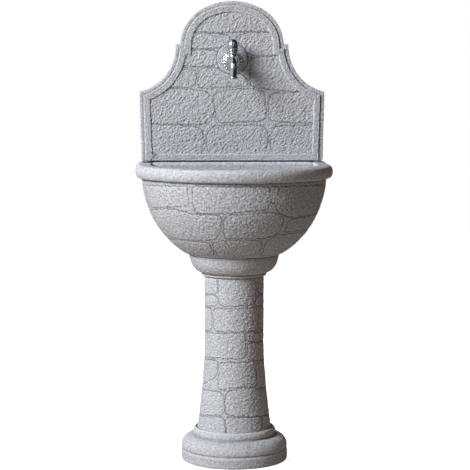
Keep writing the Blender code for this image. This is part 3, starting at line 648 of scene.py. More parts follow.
# %% Bowl blocks
BOWL_BLOCKS = [
    [(-75, 845), (-32, 853), (-32, 804), (-34, 796), (-52, 788), (-75, 780)],
    [(-28, 853), (18, 853), (21, 814), (19, 791), (15, 785), (-7, 777), (-16, 775), (-28, 776),
     (-29, 801)],
    [(20, 853), (25, 853), (24, 818), (22, 802), (20, 818)],
    [(27, 852), (71, 846), (75, 788), (73, 764), (51, 760), (39, 759), (30, 770), (25, 786), (23, 814)],
    [(-80, 769), (-46, 784), (-27, 769), (-12, 771), (-11, 755), (-13, 718), (-17, 699), (-24, 691),
     (-56, 690), (-80, 704)],
    [(-9, 756), (-7, 770), (6, 773), (18, 777), (26, 773), (32, 756), (33, 732), (31, 711), (23, 698),
     (7, 699), (-9, 699), (-10, 719)],
    [(38, 714), (37, 743), (41, 753), (53, 754), (78, 758), (86, 714), (53, 715)],
    [(-90, 680), (-58, 685), (-25, 685), (-23, 666), (-24, 645), (-53, 636), (-90, 636)],
    [(-21, 682), (-9, 693), (7, 693), (19, 690), (22, 670), (22, 648), (2, 636), (-20, 636)],
    [(24, 681), (31, 706), (90, 708), (90, 636), (54, 636), (29, 640)],
    [(-118, 846), (-79, 845), (-79, 781), (-118, 778)],
    [(-122, 846), (-122, 778), (-160, 774), (-160, 846)],
    [(-160, 768), (-160, 700), (-122, 698), (-84, 704), (-84, 770), (-120, 771)],
    [(-160, 692), (-94, 694), (-94, 636), (-160, 636)], [(75, 846), (116, 846), (116, 790), (79, 786)],
    [(120, 846), (160, 846), (160, 782), (120, 790)],
    [(80, 780), (116, 785), (116, 722), (90, 716), (82, 756)],
    [(120, 784), (160, 776), (160, 712), (120, 720)], [(94, 708), (160, 704), (160, 636), (94, 636)],
]
row_steps = [math.dist(a, b) for a, b in zip(bowl_line, bowl_line[1:])]
along_profile = np.concatenate([[0], np.cumsum(row_steps)])


def bowl_point(turn_degrees, z):
    """A turn and a height as distances over the bowl's face."""
    z = np.clip(z, heights[0], heights[-1])
    width = np.interp(z, heights, [r for r, _ in bowl_line])
    bend = np.radians(np.clip(turn_degrees, -90, 90)) * width
    past = np.sign(turn_degrees) * np.radians(np.maximum(np.abs(turn_degrees) - 90, 0)) * BOWL_RADIUS
    return bend + past, np.interp(z, heights, along_profile)


# %% Relief on the basin
x, y, z = corners(basin).T
reach = np.where(y < AXIS_Y, np.hypot(x, y - AXIS_Y), np.abs(x))
turn = np.degrees(np.arctan2(x, np.maximum(AXIS_Y - y, 0)))
turn += np.sign(x) * np.degrees(np.maximum(y - AXIS_Y, 0) / BOWL_RADIUS)
u, v = bowl_point(turn, z)
outlines = [list(zip(*bowl_point(*np.array(even(block + block[:1], 9.0)[:-1]).T * [[1], [0.001]])))
            for block in BOWL_BLOCKS]
blocks = block_heights(u, v, outlines, cut=0.010)
on_bowl = (z < BOWL_TOP - 0.0002) & (z > heights[0] + 0.0005) & (y < WALL_Y - 0.001)
on_rim = (z >= BOWL_TOP - 0.0002) & (y < WALL_Y - 0.001) & (reach > 0.24)
near_foot = np.clip((z - heights[0]) / 0.004, 0, 1)
keep_group(basin, "blocks", on_bowl * blocks * near_foot)
keep_group(basin, "face", on_bowl * (0.25 + 0.75 * blocks) * near_foot)
keep_group(basin, "rim", on_rim * 1.0)
keep_sunk(basin, on_bowl * (1 - blocks))
displace(basin, JOINT_DEPTH, "blocks")
roughen(basin, "face", wrinkles=0.0018, pits=0.0018)
roughen(basin, "rim", swells=0.0020, wrinkles=0.0010, pits=0.0006)

# %% [markdown]
# ## Hollowing the basin
# The inside is a smaller D whose upright back leaves the wall thick enough to carry the panel. It is
# skinned over level rings, roughened, and taken out with a Boolean, together with the waste's hole
# and the channel in the back for the supply pipe.

# %% Skin over rings
def loft(name, rings):
    """A closed skin: the first ring is traced, and each next ring is extruded from it and set."""
    piece = trace(name, rings[0], closed=True)
    last = list(range(len(rings[0])))
    for ring in rings[1:]:
        choose(piece, last, "EDGE")
        bpy.ops.mesh.extrude_region_move()
        bpy.ops.object.mode_set(mode="OBJECT")
        mesh, before = piece.data, max(last) + 1
        twins = {tuple(round(c, 6) for c in mesh.vertices[i].co): k for k, i in enumerate(last)}
        fresh = [0] * len(last)
        for vertex in mesh.vertices[before:]:
            k = twins[tuple(round(c, 6) for c in vertex.co)]
            fresh[k] = vertex.index
        for k, i in enumerate(fresh):
            mesh.vertices[i].co = ring[k]
        last = fresh
    for ring in (range(len(rings[0])), last):
        choose(piece, ring, "EDGE")
        bpy.ops.mesh.edge_face_add()
        bpy.ops.object.mode_set(mode="OBJECT")
    return close_up(piece)


def take_out(piece, other, operation="DIFFERENCE"):
    """Cuts the other out of the piece, or joins it on, and removes the other."""
    only(piece)
    cut = piece.modifiers.new("cut", "BOOLEAN")
    cut.operation, cut.solver, cut.object = operation, "MANIFOLD", other
    bpy.ops.object.modifier_apply(modifier=cut.name)
    bpy.data.objects.remove(other)
    print(f"{piece.name}: {len(piece.data.polygons)} faces, {open_edges(piece)} open edges after the cut")


def d_ring(radius, back_y, z, sides=26, bend=190, straight=120):
    """A level D of evenly spread points: side, bend through the front, side, and back."""
    ring = [(-radius, back_y + (AXIS_Y - back_y) * k / sides, z) for k in range(sides)]
    ring += [(radius * math.cos(a), AXIS_Y + radius * math.sin(a), z)
             for a in (math.pi + math.pi * k / bend for k in range(bend + 1))]
    ring += [(radius, AXIS_Y + (back_y - AXIS_Y) * k / sides, z) for k in range(1, sides + 1)]
    return ring + [(radius - 2 * radius * k / straight, back_y, z) for k in range(1, straight)]


def cavity_ring(z):
    """The inside at a height: the bowl curves in, and the back turns in only near the floor."""
    share = max(0.0, (0.900 - z) / 0.232)
    radius = 0.250 * (1 - share**SQUARISH) ** (1 / SQUARISH)
    return d_ring(radius, AXIS_Y + 0.125 * (1 - share**8) ** (1 / 8), z)


# %% Hollow the basin
lip = [(0.2600, 0.1330, 0.9060), (0.2560, 0.1290, 0.9040), (0.2530, 0.1270, 0.9028),
       (0.2512, 0.1257, 0.9005)]
floor_levels = [0.696, 0.692, 0.688, 0.684, 0.681, 0.678, 0.6755, 0.673, 0.671, 0.6695]
rings = [d_ring(r, AXIS_Y + back, z) for r, back, z in lip]
rings += [cavity_ring(z) for z in [*np.arange(0.897, 0.7, -0.004), *floor_levels]]
cavity = loft("cut_cavity", rings)
places = corners(cavity)
keep_group(cavity, "face", (places[:, 2] < 0.9035) * (places[:, 2] > 0.674) * 1.0)
displace(cavity, 0.0012, "face", WRINKLES, level=0.0, stretched=True)
take_out(basin, cavity)

# %% Waste hole and pipe channel
def pin(name, radius, start, end, steps=48):
    """A straight round bar, used as a drill."""
    middle = [(a + b) / 2 for a, b in zip(start, end)]
    length = math.dist(start, end)
    flat = abs(end[1] - start[1]) > abs(end[2] - start[2])
    bpy.ops.object.select_all(action="DESELECT")
    bpy.ops.mesh.primitive_cylinder_add(vertices=steps, radius=radius, depth=length, location=middle,
                                        rotation=(math.pi / 2 if flat else 0, 0, 0))
    drill = added(name)
    bpy.ops.object.transform_apply(location=True, rotation=True, scale=True)
    return drill


def block(name, low, high):
    """A straight block between two corners, used as a cutter or as a start."""
    bpy.ops.object.select_all(action="DESELECT")
    bpy.ops.mesh.primitive_cube_add(size=1, location=[(a + b) / 2 for a, b in zip(low, high)],
                                    scale=[b - a for a, b in zip(low, high)])
    cube = added(name)
    bpy.ops.object.transform_apply(location=True, rotation=True, scale=True)
    return cube


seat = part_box("waste_body")[1].z - 0.006
take_out(basin, pin("cut_seat", 0.0375, (0, AXIS_Y, seat), (0, AXIS_Y, seat + 0.03)))
take_out(basin, pin("cut_waste", 0.0255, (0, AXIS_Y, 0.60), (0, AXIS_Y, 0.70)))
CHANNEL = (0.017, 0.028)  # half its width, and its depth
take_out(basin, block("cut_channel", (-CHANNEL[0], WALL_Y - CHANNEL[1], 0.61),
                      (CHANNEL[0], WALL_Y + 0.02, 0.93)))
finish_stone(basin, "basin", angle=50)

# %% [markdown]
# ## The panel's frame
# The back panel has an arched top on curved shoulders. A narrow outer band, a raised flat band and a
# quirk frame its field of masonry. All of them follow one outline at growing insets, so the frame is
# skinned over copies of that outline, each set in and forward by the moulding's section.

# %% Panel outline
def arc(centre, radius, start, end, steps):
    """Points along an arc in the panel's plane."""
    turns = [start + (end - start) * k / steps for k in range(steps + 1)]
    return [(centre[0] + radius * math.cos(t), centre[1] + radius * math.sin(t)) for t in turns]


HALF_FOOT, HALF_SHOULDER = 0.2825, 0.2876  # half widths: the foot, and the top of the straight sides
CURVE_X, CURVE_Z, CURVE_RADIUS = 0.3193, 1.262, 0.1443  # the hollow curve under the arch
STEP_Z, ARCH_SIDE = 1.268, 0.130  # the ledge, and the radius of the arch's two sides
ARCH_X = 0.1605 - ARCH_SIDE


def panel_outline(inset, rise):
    """The panel's outline set in by a distance, always with the same number of points."""
    step, foot, curve_radius = STEP_Z - inset, panel_low.z + rise, CURVE_RADIUS + inset
    start = math.pi + math.acos((CURVE_X - (HALF_SHOULDER - inset)) / curve_radius)
    end = math.pi + math.asin(max(0.0, CURVE_Z - step + 0.002) / curve_radius)
    curve = arc((CURVE_X, CURVE_Z), curve_radius, start, end, 64)
    corner = (HALF_FOOT - inset, foot)
    right = [tuple(a + (b - a) * k / 56 for a, b in zip(corner, curve[0])) for k in range(56)] + curve
    side, height = ARCH_SIDE - inset, panel_high.z - CURVE_Z
    crown = (ARCH_SIDE**2 - height**2 - ARCH_X**2) / (2 * (ARCH_SIDE - height))
    turn = math.atan2(crown - height, ARCH_X)
    ledge = CURVE_X - math.sqrt(curve_radius**2 - max(0.0, CURVE_Z - step) ** 2)
    root = ARCH_X + math.sqrt(side**2 - max(0.0, step - CURVE_Z) ** 2)
    right += [(ledge + (root - ledge) * k / 4, step) for k in range(5)]
    right += arc((ARCH_X, CURVE_Z), side, math.asin(max(0.0, step - CURVE_Z + 0.002) / side), turn, 64)
    right += arc((0, panel_high.z - crown), crown - inset, turn, math.pi / 2, 24)[1:]
    foot_run = [(corner[0] * (2 * k / 170 - 1), foot) for k in range(1, 170)]
    return foot_run + right + [(-px, pz) for px, pz in reversed(right[:-1])]


print("panel outline:", len(panel_outline(0.0, 0.0)), "points")

# %% Panel frame
FRONT_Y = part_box("back_panel")[1].y - 0.050
BAND_Y, FIELD_Y = FRONT_Y + 0.005, FRONT_Y + 0.009
FIELD_FLOOR_Y = FIELD_Y + 0.006
section = even([
    (0.0, 0.0, WALL_Y), (0.0, 0.0, BAND_Y + 0.003), (0.0010, 0.0, BAND_Y + 0.0009),
    (0.0030, 0.0, BAND_Y), (0.0105, 0.0, BAND_Y - 0.0002), (0.0118, 0.0, BAND_Y + 0.0011),
    (0.0132, 0.0004, BAND_Y + 0.0006), (0.0140, 0.0005, FRONT_Y + 0.0014), (0.0155, 0.0012, FRONT_Y),
    (0.0325, 0.020, FRONT_Y), (0.0345, 0.0215, FRONT_Y + 0.0012), (0.0355, 0.0223, FRONT_Y + 0.004),
    (0.0360, 0.0225, FIELD_FLOOR_Y),
], 0.0033)
rings = [[(px, depth, pz) for px, pz in panel_outline(inset, rise)] for inset, rise, depth in section]
panel = loft("panel_frame", rings)
depth = corners(panel)[:, 1]
on_face = (depth < FIELD_Y - 0.001) * 1.0
on_edge = ((depth >= FIELD_Y - 0.001) & (depth < WALL_Y - 0.002)) * 1.0
keep_group(panel, "face", np.maximum(on_face, 0.8 * on_edge))
roughen(panel, "face", swells=0.0008, wrinkles=0.0011, pits=0.0009, stretched=False)

# %% Cuts in the panel's back
TAP_Z = (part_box("tap_rosette")[0].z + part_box("tap_rosette")[1].z) / 2
take_out(panel, pin("cut_tap", 0.0142, (0, FRONT_Y - 0.01, TAP_Z), (0, WALL_Y + 0.01, TAP_Z)))
take_out(panel, block("cut_channel", (-CHANNEL[0], WALL_Y - CHANNEL[1], panel_low.z - 0.02),
                      (CHANNEL[0], WALL_Y + 0.02, TAP_Z - 0.010)))
take_out(panel, block("cut_elbow", (-0.032, WALL_Y - 0.025, TAP_Z - 0.020),
                      (0.032, WALL_Y + 0.021, TAP_Z + 0.020)))
for number in (1, 2):
    low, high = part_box(f"hanger_plate_{number}")
    take_out(panel, block("cut_plate", (low.x - 0.0005, WALL_Y - 0.0038, low.z - 0.0005),
                          (high.x + 0.0005, WALL_Y + 0.01, high.z + 0.0005)))
    middle = (low.x + high.x) / 2
    take_out(panel, block("cut_hook", (middle - 0.009, WALL_Y - 0.016, low.z + 0.005),
                          (middle + 0.009, WALL_Y + 0.011, high.z - 0.004)))
finish_stone(panel, "back_panel", angle=50)

# %% [markdown]
# ## The masonry field
# Thirteen blocks fill the panel round the tap's boss. A fine grid stands upright in the frame, gets
# its block heights and its chisel marks, and is thickened. Its ragged border lies inside the frame.

# %% Masonry field
FIELD_BLOCKS = [
    [(-290, 1021), (-149, 1016), (-108, 1013), (-93, 1001), (-87, 974), (-90, 949), (-96, 935),
     (-104, 900), (-290, 900)],
    [(-78, 987), (-66, 1011), (-33, 1017), (37, 1015), (83, 1019), (104, 1008), (112, 983), (110, 956),
     (100, 935), (92, 905), (-64, 905), (-71, 935), (-81, 958)],
    [(120, 987), (128, 1007), (141, 1015), (290, 1017), (290, 900), (130, 900), (124, 935), (119, 958)],
    [(-300, 1025), (-300, 1133), (-133, 1128), (-83, 1122), (-66, 1113), (-57, 1090), (-54, 1057),
     (-66, 1032), (-83, 1020), (-149, 1021)],
    [(-59, 1104), (-46, 1120), (0, 1128), (58, 1129), (95, 1124), (101, 1106), (104, 1073), (107, 1047),
     (100, 1032), (58, 1030), (0, 1027), (-33, 1025), (-46, 1032), (-52, 1065)],
    [(114, 1104), (124, 1115), (183, 1118), (300, 1115), (300, 1023), (183, 1026), (124, 1030),
     (113, 1040), (114, 1073)],
    [(-240, 1138), (-240, 1187), (-149, 1190), (-120, 1189), (-111, 1183), (-112, 1156), (-117, 1139),
     (-137, 1134)],
    [(-105, 1156), (-103, 1185), (-83, 1195), (-50, 1194), (-25, 1180), (39, 1172), (50, 1148),
     (44, 1138), (-25, 1136), (-83, 1131), (-106, 1135)],
    [(60, 1189), (52, 1222), (83, 1227), (143, 1230), (210, 1228), (250, 1172), (262, 1119), (174, 1123),
     (120, 1128), (66, 1136), (57, 1140), (54, 1172)],
    [(-210, 1197), (-200, 1244), (-120, 1247), (-83, 1249), (-45, 1247), (-35, 1222), (-45, 1202),
     (-83, 1200), (-149, 1196)],
    [(-170, 1253), (-165, 1298), (-83, 1300), (-17, 1297), (4, 1279), (-20, 1262), (-50, 1253),
     (-83, 1254)],
    [(10, 1279), (27, 1300), (100, 1303), (190, 1295), (190, 1237), (83, 1232), (50, 1233), (30, 1262)],
    [(-190, 1304), (-160, 1410), (160, 1410), (180, 1306), (58, 1307), (-25, 1302), (-83, 1305)],
]

# %% Grid in the frame
BOSS_RADIUS, BOSS_Z = 0.0475, TAP_Z + 0.008
width, foot_z, top_z = 0.53, panel_low.z + 0.012, panel_high.z - 0.026
MASONRY_Y = FRONT_Y + 0.0056
bpy.ops.object.select_all(action="DESELECT")
bpy.ops.mesh.primitive_grid_add(x_subdivisions=262, y_subdivisions=222, size=1,
                                location=(0, MASONRY_Y, (foot_z + top_z) / 2),
                                rotation=(math.pi / 2, 0, 0))
masonry = added("panel_masonry")
masonry.scale = (width, top_z - foot_z, 1)
bpy.ops.object.transform_apply(location=True, rotation=True, scale=True)
limit = np.array(panel_outline(0.029, 0.016))
x, y, z = corners(masonry).T
inside = np.zeros(len(x), bool)
for (ax, az), (bx, bz) in zip(limit, np.roll(limit, -1, axis=0)):
    if az != bz:
        inside ^= ((az > z) != (bz > z)) & (x < (bx - ax) * (z - az) / (bz - az) + ax)
choose(masonry, np.flatnonzero(~inside))
bpy.ops.mesh.delete(type="VERT")
bpy.ops.object.mode_set(mode="OBJECT")

# %% Masonry relief
x, y, z = corners(masonry).T
outlines = [[(px / 1000, pz / 1000) for px, pz in outline] for outline in FIELD_BLOCKS]
blocks = block_heights(x, z, outlines, edge=0.0036, cut=0.012)
blocks *= np.clip((np.hypot(x, z - BOSS_Z) - BOSS_RADIUS - 0.0005) / 0.004, 0, 1)
print("masonry field:", len(x), "vertices,", f"{100 * blocks.mean():.0f} % block")
keep_group(masonry, "blocks", blocks)
keep_group(masonry, "face", 0.25 + 0.75 * blocks)
keep_sunk(masonry, 1 - blocks)
only(masonry)
bpy.ops.object.mode_set(mode="EDIT")
bpy.ops.mesh.select_all(action="SELECT")
bpy.ops.mesh.normals_make_consistent(inside=False)
bpy.ops.object.mode_set(mode="OBJECT")
if masonry.data.polygons[0].normal.y > 0:
    bpy.ops.object.mode_set(mode="EDIT")
    bpy.ops.mesh.flip_normals()
    bpy.ops.object.mode_set(mode="OBJECT")
displace(masonry, 0.0030, "blocks")
roughen(masonry, "face", wrinkles=0.0026, pits=0.0026)
# Painted shade in the masonry's hollows and painted highlights on its high points.
paint_relief_shading(masonry)
only(masonry)
wall = masonry.modifiers.new("thickness", "SOLIDIFY")
wall.thickness, wall.offset = 0.003, -1
bpy.ops.object.modifier_apply(modifier=wall.name)
finish(masonry, "fountain", "cast_stone", STONE)

# %% [markdown]
# ## The tap's boss
# A smooth disc of stone stands just proud of the masonry, so that the tap's rosette has a flat seat.

# %% Boss
boss_profile = even([(0.0135, 0.0), (0.0135, -0.0085), (0.043, -0.0085), (0.0458, -0.0078),
                     (0.0472, -0.006), (BOSS_RADIUS, -0.003), (BOSS_RADIUS, 0.0)], 0.0025)
boss = trace("tap_boss", [(r, FIELD_Y + depth, BOSS_Z) for r, depth in boss_profile], closed=True)
pick(boss, "VERT", lambda co: True)
bpy.ops.mesh.spin(steps=120, angle=2 * math.pi, center=(0, 0, BOSS_Z), axis=(0, 1, 0))
close_up(boss)
keep_group(boss, "face", (corners(boss)[:, 1] < FIELD_Y - 0.001) * 1.0)
roughen(boss, "face", wrinkles=0.0009, pits=0.0006)
finish_stone(boss, angle=50)

# %% [markdown]
# ## Chrome and the other finishes
# Chromed brass is a mirror-like layer a few thousandths of a millimetre thick over a polished casting.
# It takes its whole look from what it reflects, so it needs a very low roughness and a trace of
# waviness from the casting under it. Bare brass, copper, steel, rubber and plastic are hidden behind or
# inside; a finish is made for each of them, but not assigned.

# %% Metal and plain finishes
def metal(name, tones, roughness, wave, wave_mm):
    """A metal: its two near tones, its polish, and the waviness of its making."""
    material, shader = new_material(name)
    link = material.node_tree.links.new
    place = add_node(material, "ShaderNodeTexCoord").outputs["Object"]
    stain = add_node(material, "ShaderNodeTexNoise", Vector=place, Scale=MM / 7, Detail=3.0)
    spread = add_node(material, "ShaderNodeMapRange", Value=stain.outputs["Fac"], From_Min=0.3,
                      From_Max=0.7, To_Min=0.65 * roughness, To_Max=1.5 * roughness)
    link(spread.outputs["Result"], shader.inputs["Roughness"])
    tone = ramp(material, stain.outputs["Fac"], (0.25, tones[0]), (0.75, tones[1]))
    link(tone, shader.inputs["Base Color"])
    shader.inputs["Metallic"].default_value = 1.0
    swell = add_node(material, "ShaderNodeTexNoise", Vector=place, Scale=MM / wave_mm, Detail=1.0)
    bump = add_node(material, "ShaderNodeBump", Height=swell.outputs["Fac"], Strength=wave, Distance=0.0008)
    link(bump.outputs["Normal"], shader.inputs["Normal"])
    return material


def plain(name, low, high, roughness, grain_mm):
    """Rubber, plastic or mortar: two near tones, a matt surface, and its grain."""
    material, shader = new_material(name)
    link = material.node_tree.links.new
    place = add_node(material, "ShaderNodeTexCoord").outputs["Object"]
    grain = add_node(material, "ShaderNodeTexNoise", Vector=place, Scale=MM / grain_mm, Detail=3.0)
    link(ramp(material, grain.outputs["Fac"], (0.3, low), (0.7, high)), shader.inputs["Base Color"])
    shader.inputs["Roughness"].default_value = roughness
    bump = add_node(material, "ShaderNodeBump", Height=grain.outputs["Fac"], Strength=0.3, Distance=0.0004)
    link(bump.outputs["Normal"], shader.inputs["Normal"])
    return material


FINISHES = {
    "cast_stone": STONE,
    "mortar": plain("mortar_struck", "#9A9A9C", "#B9B9BB", 0.95, 2.0),
    "chromed_brass": metal("chrome_plated_brass", ("#C9CCD2", "#DADDE2"), 0.07, 0.35, 8),
    "brass": metal("brass_machined", ("#A98A45", "#C9AA60"), 0.28, 0.15, 5),
    "copper": metal("copper_drawn", ("#A5623F", "#C4805A"), 0.30, 0.12, 6),
    "stainless_steel": metal("stainless_steel_turned", ("#9A9B9C", "#B9BABB"), 0.26, 0.15, 4),
    "rubber": plain("rubber_moulded", "#1B1B1C", "#2B2B2D", 0.75, 3.0),
    "white_plastic": plain("plastic_moulded_white", "#D9DAD8", "#ECEDEB", 0.45, 6.0),
}
CHROME = FINISHES["chromed_brass"]
print("finishes:", ", ".join(FINISHES))

# %% [markdown]
# ## The tap
# A bib tap is a small casting turned, bent and polished: a bulb on a screwed barrel, a spout that
# bends down to a nozzle, a fluted rosette against the boss, and a bell-shaped knob. Round parts are
# lathed finely so that the chrome reflects in smooth bands.

# %% Tap body
TAP_Y = (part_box("handle_knob")[0].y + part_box("handle_knob")[1].y) / 2
SPOUT_Y = (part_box("spout_nozzle")[0].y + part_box("spout_nozzle")[1].y) / 2


def smooth_line(points, spacing=0.0006):
    """A curve through the points, evenly divided (Catmull and Rom's rule)."""
    line, pts = [], [points[0], *points, points[-1]]
    for a, b, c, d in zip(pts, pts[1:], pts[2:], pts[3:]):
        steps = max(1, round(math.dist(b, c) / spacing))
        for k in range(steps):
            t = k / steps
            line.append(tuple(0.5 * (2 * q + (r - p) * t + (2 * p - 5 * q + 4 * r - s) * t * t
                                     + (3 * q - p - 3 * r + s) * t**3)
                              for p, q, r, s in zip(a, b, c, d)))
    return line + [tuple(points[-1])]


bulb = smooth_line([(0, 1.1886), (0.006, 1.1892), (0.011, 1.192), (0.0155, 1.198), (0.0183, 1.2055),
                    (0.0189, 1.213), (0.0178, 1.2205), (0.0152, 1.2268), (0.0135, 1.2305)], 0.0012)
neck = [(0.0132, 1.2320), (0.0145, 1.2330), (0.0145, 1.2362), (0.0, 1.2362)]
tap = lathe("tap_casting", bulb + neck, 64, TAP_Y)
print("tap bulb:", len(tap.data.vertices), "vertices,", open_edges(tap), "open edges")

barrel_profile = [(0.0, 0.010), (0.0113, 0.010), (0.0113, 0.0195), (0.0125, 0.0205), (0.0139, 0.0225),
                  (0.0139, 0.0262), (0.0125, 0.0283), (0.0104, 0.0290), (0.0104, 0.0788), (0.0, 0.0788)]
barrel = trace("tap_barrel", [(r, TAP_Y + d, TAP_Z) for r, d in even(barrel_profile, 0.004)])
pick(barrel, "VERT", lambda co: True)
bpy.ops.mesh.spin(steps=56, angle=2 * math.pi, center=(0, 0, TAP_Z), axis=(0, 1, 0))
close_up(barrel)


def pipe_along(name, path, radii, steps=40):
    """A round bar along a path in the upright middle plane, its rings square to the path."""
    rings = []
    for k, ((y0, z0), radius) in enumerate(zip(path, radii)):
        before, after = path[max(0, k - 1)], path[min(len(path) - 1, k + 1)]
        dy, dz = after[0] - before[0], after[1] - before[1]
        size = math.hypot(dy, dz)
        ny, nz = -dz / size, dy / size
        turns = [2 * math.pi * j / steps for j in range(steps)]
        rings.append([(radius * math.cos(t), y0 + ny * radius * math.sin(t), z0 + nz * radius * math.sin(t))
                      for t in turns])
    return loft(name, rings)


# %% Spout and barrel joined on
spout_path = smooth_line([(TAP_Y, 1.2190), (TAP_Y - 0.010, 1.2200), (TAP_Y - 0.020, 1.2178),
                          (TAP_Y - 0.0285, 1.2125), (TAP_Y - 0.0348, 1.2050), (TAP_Y - 0.0383, 1.1960),
                          (SPOUT_Y, 1.1860), (SPOUT_Y, 1.1722)], 0.0022)
share = np.linspace(0, 1, len(spout_path))
spout = pipe_along("tap_spout", spout_path, 0.0122 - 0.0007 * share)
print("barrel and spout:", open_edges(barrel), open_edges(spout), "open edges")
for extra in (barrel, spout):
    take_out(tap, extra, operation="UNION")
take_out(tap, pin("cut_way", 0.0082, (0, SPOUT_Y, 1.160), (0, SPOUT_Y, 1.1798), 40))
finish(tap, "fountain", "chromed_brass", CHROME, "tap_body", angle=40)

# %% Nozzle, bonnet, knob and cap
nozzle_line = [(0.0055, 1.1600), (0.0112, 1.1600), (0.0122, 1.1604), (0.0128, 1.1616), (0.0128, 1.1644),
               (0.0122, 1.1658), (0.0112, 1.1667), (0.0113, 1.1690), (0.0115, 1.1717), (0.0080, 1.1717),
               (0.0080, 1.1794), (0.0055, 1.1794)]
nozzle = lathe("tap_nozzle", nozzle_line, 64, SPOUT_Y, closed=True)
finish(nozzle, "fountain", "chromed_brass", CHROME, "spout_nozzle", angle=40)

bonnet_line = [(0.0053, 1.2306), (0.0091, 1.2306), (0.0091, 1.2380), (0.0134, 1.2380), (0.0140, 1.2386),
               (0.0140, 1.2418), (0.0134, 1.2426), (0.0119, 1.2432), (0.0119, 1.2574), (0.0114, 1.2579),
               (0.0079, 1.2579), (0.0079, 1.2506), (0.0053, 1.2506)]
bonnet = lathe("tap_headwork", bonnet_line, 64, TAP_Y, closed=True)
finish(bonnet, "fountain", "chromed_brass", CHROME, "tap_bonnet", angle=40)

knob_outside = smooth_line([(0.0166, 1.2431), (0.0176, 1.2437), (0.0178, 1.2458), (0.0176, 1.2476),
                            (0.0166, 1.2487)], 0.0008)
knob_outside += smooth_line([(0.0165, 1.2492), (0.0171, 1.2515), (0.0176, 1.2560), (0.0174, 1.2610),
                             (0.0168, 1.2665), (0.0155, 1.2720), (0.0125, 1.2772), (0.0090, 1.2802),
                             (0.0069, 1.2811)], 0.0010)
knob_line = [(0.0018, 1.2744), (0.0041, 1.2744), (0.0041, 1.2684), (0.0140, 1.2684), (0.0148, 1.2670),
             (0.0148, 1.2432), *knob_outside, (0.0068, 1.2768), (0.0018, 1.2768)]
knob = lathe("knob_bell", knob_line, 96, TAP_Y, closed=True)
finish(knob, "handle", "chromed_brass", CHROME, "handle_knob", angle=45)

cap_line = smooth_line([(0.0, 1.2822), (0.0030, 1.2821), (0.0048, 1.2818), (0.0060, 1.2813),
                        (0.0064, 1.2808)], 0.0007)
knob_top = lathe("knob_cap_disc", cap_line + [(0.0064, 1.2794), (0.0, 1.2794)], 48, TAP_Y)
finish(knob_top, "handle", "chromed_brass", CHROME, "knob_cap", angle=45)

# %% [markdown]
# ## The rosette
# The rosette is a dished flange with eighteen lobes round it, like the fluting on a silver dish. A plain
# ring is turned first. Its points are then moved outward and forward in waves, which gives every lobe
# the same round shape with one pass.

# %% Rosette
LOBES = 18
rosette_line = [(0.0107, -0.0003), (0.0300, -0.0003), (0.0316, -0.0012), (0.0321, -0.0026),
                (0.0316, -0.0042), (0.0303, -0.0056), (0.0283, -0.0066), (0.0262, -0.0070),
                (0.0243, -0.0078), (0.0222, -0.0092), (0.0200, -0.0103), (0.0180, -0.0118),
                (0.0168, -0.0136), (0.0160, -0.0152), (0.0146, -0.0159), (0.0107, -0.0159)]
SEAT_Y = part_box("tap_rosette")[1].y + 0.0003
rosette_points = [(r, SEAT_Y + d, TAP_Z) for r, d in even(rosette_line, 0.0010)]
rosette = trace("tap_rosette_lobed", rosette_points, closed=True)
pick(rosette, "VERT", lambda co: True)
bpy.ops.mesh.spin(steps=LOBES * 12, angle=2 * math.pi, center=(0, 0, TAP_Z), axis=(0, 1, 0))
close_up(rosette)
for vertex in rosette.data.vertices:
    rx, rz = vertex.co.x, vertex.co.z - TAP_Z
    reach, turn_at = math.hypot(rx, rz), math.atan2(rz, rx)
    lobe = abs(math.sin(LOBES * turn_at / 2))
    part = min(1.0, max(0.0, (reach - 0.0185) / 0.006))
    raised = min(1.0, max(0.0, (SEAT_Y - 0.0008 - vertex.co.y) / 0.003))
    shrink = 1 - 0.05 * part * raised * (1 - lobe)
    vertex.co.x, vertex.co.z = rx * shrink, TAP_Z + rz * shrink
    vertex.co.y += 0.0030 * part * raised * (1 - lobe)
finish(rosette, "fountain", "chromed_brass", CHROME, "tap_rosette", angle=60)

# %% [markdown]
# ## What stays CAD
# The waste, the pipework, the screws and the mortar beds already have their true shape in the frame.
# They are all shown in the castings' stone, as a stand-in: their own finishes stand in the list above,
# by slot, and are not assigned.

# %% Carried-over nodes
carried = [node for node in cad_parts.values() if not node.hide_render]
for node in carried:
    node.data.materials.clear()
    node.data.materials.append(STONE)
print(len(carried), "nodes keep their CAD shape")

# %% [markdown]
# ## Floor, light and camera
# A pale floor and a white surround keep the eye on the stone. One large soft light stands high on the
# left and in front, so that the relief throws short shadows to the right, and a faint warm surround
# keeps the right side dark but readable. Polished metal reflects a patchy surround, light on the left
# and dark on the right, as in a real studio. The camera stands almost five metres off, at a metre
# seventeen.

# %% Floor
bpy.ops.object.select_all(action="DESELECT")
bpy.ops.mesh.primitive_plane_add(size=14, location=(0, 0, base_low.z - 0.0004))
floor = added("studio_floor")
bpy.ops.object.transform_apply(location=True, rotation=True, scale=True)
floor_material = bpy.data.materials.new("studio_floor_paper")
floor_material.use_nodes = True
floor_material.node_tree.nodes.clear()
seen = add_node(floor_material, "ShaderNodeLightPath").outputs["Is Camera Ray"]
paper = add_node(floor_material, "ShaderNodeBsdfDiffuse", Color=linear("#FFFFFF"))
glow = add_node(floor_material, "ShaderNodeEmission", Color=(1, 1, 1, 1), Strength=0.86)
lit = add_node(floor_material, "ShaderNodeAddShader", n0=paper.outputs[0], n1=glow.outputs[0])
grey = add_node(floor_material, "ShaderNodeBsdfDiffuse", Color=linear("#AFA49B"))
choice = add_node(floor_material, "ShaderNodeMixShader", n0=seen, n1=grey.outputs[0], n2=lit.outputs[0])
add_node(floor_material, "ShaderNodeOutputMaterial", Surface=choice.outputs[0])
floor.data.materials.append(floor_material)

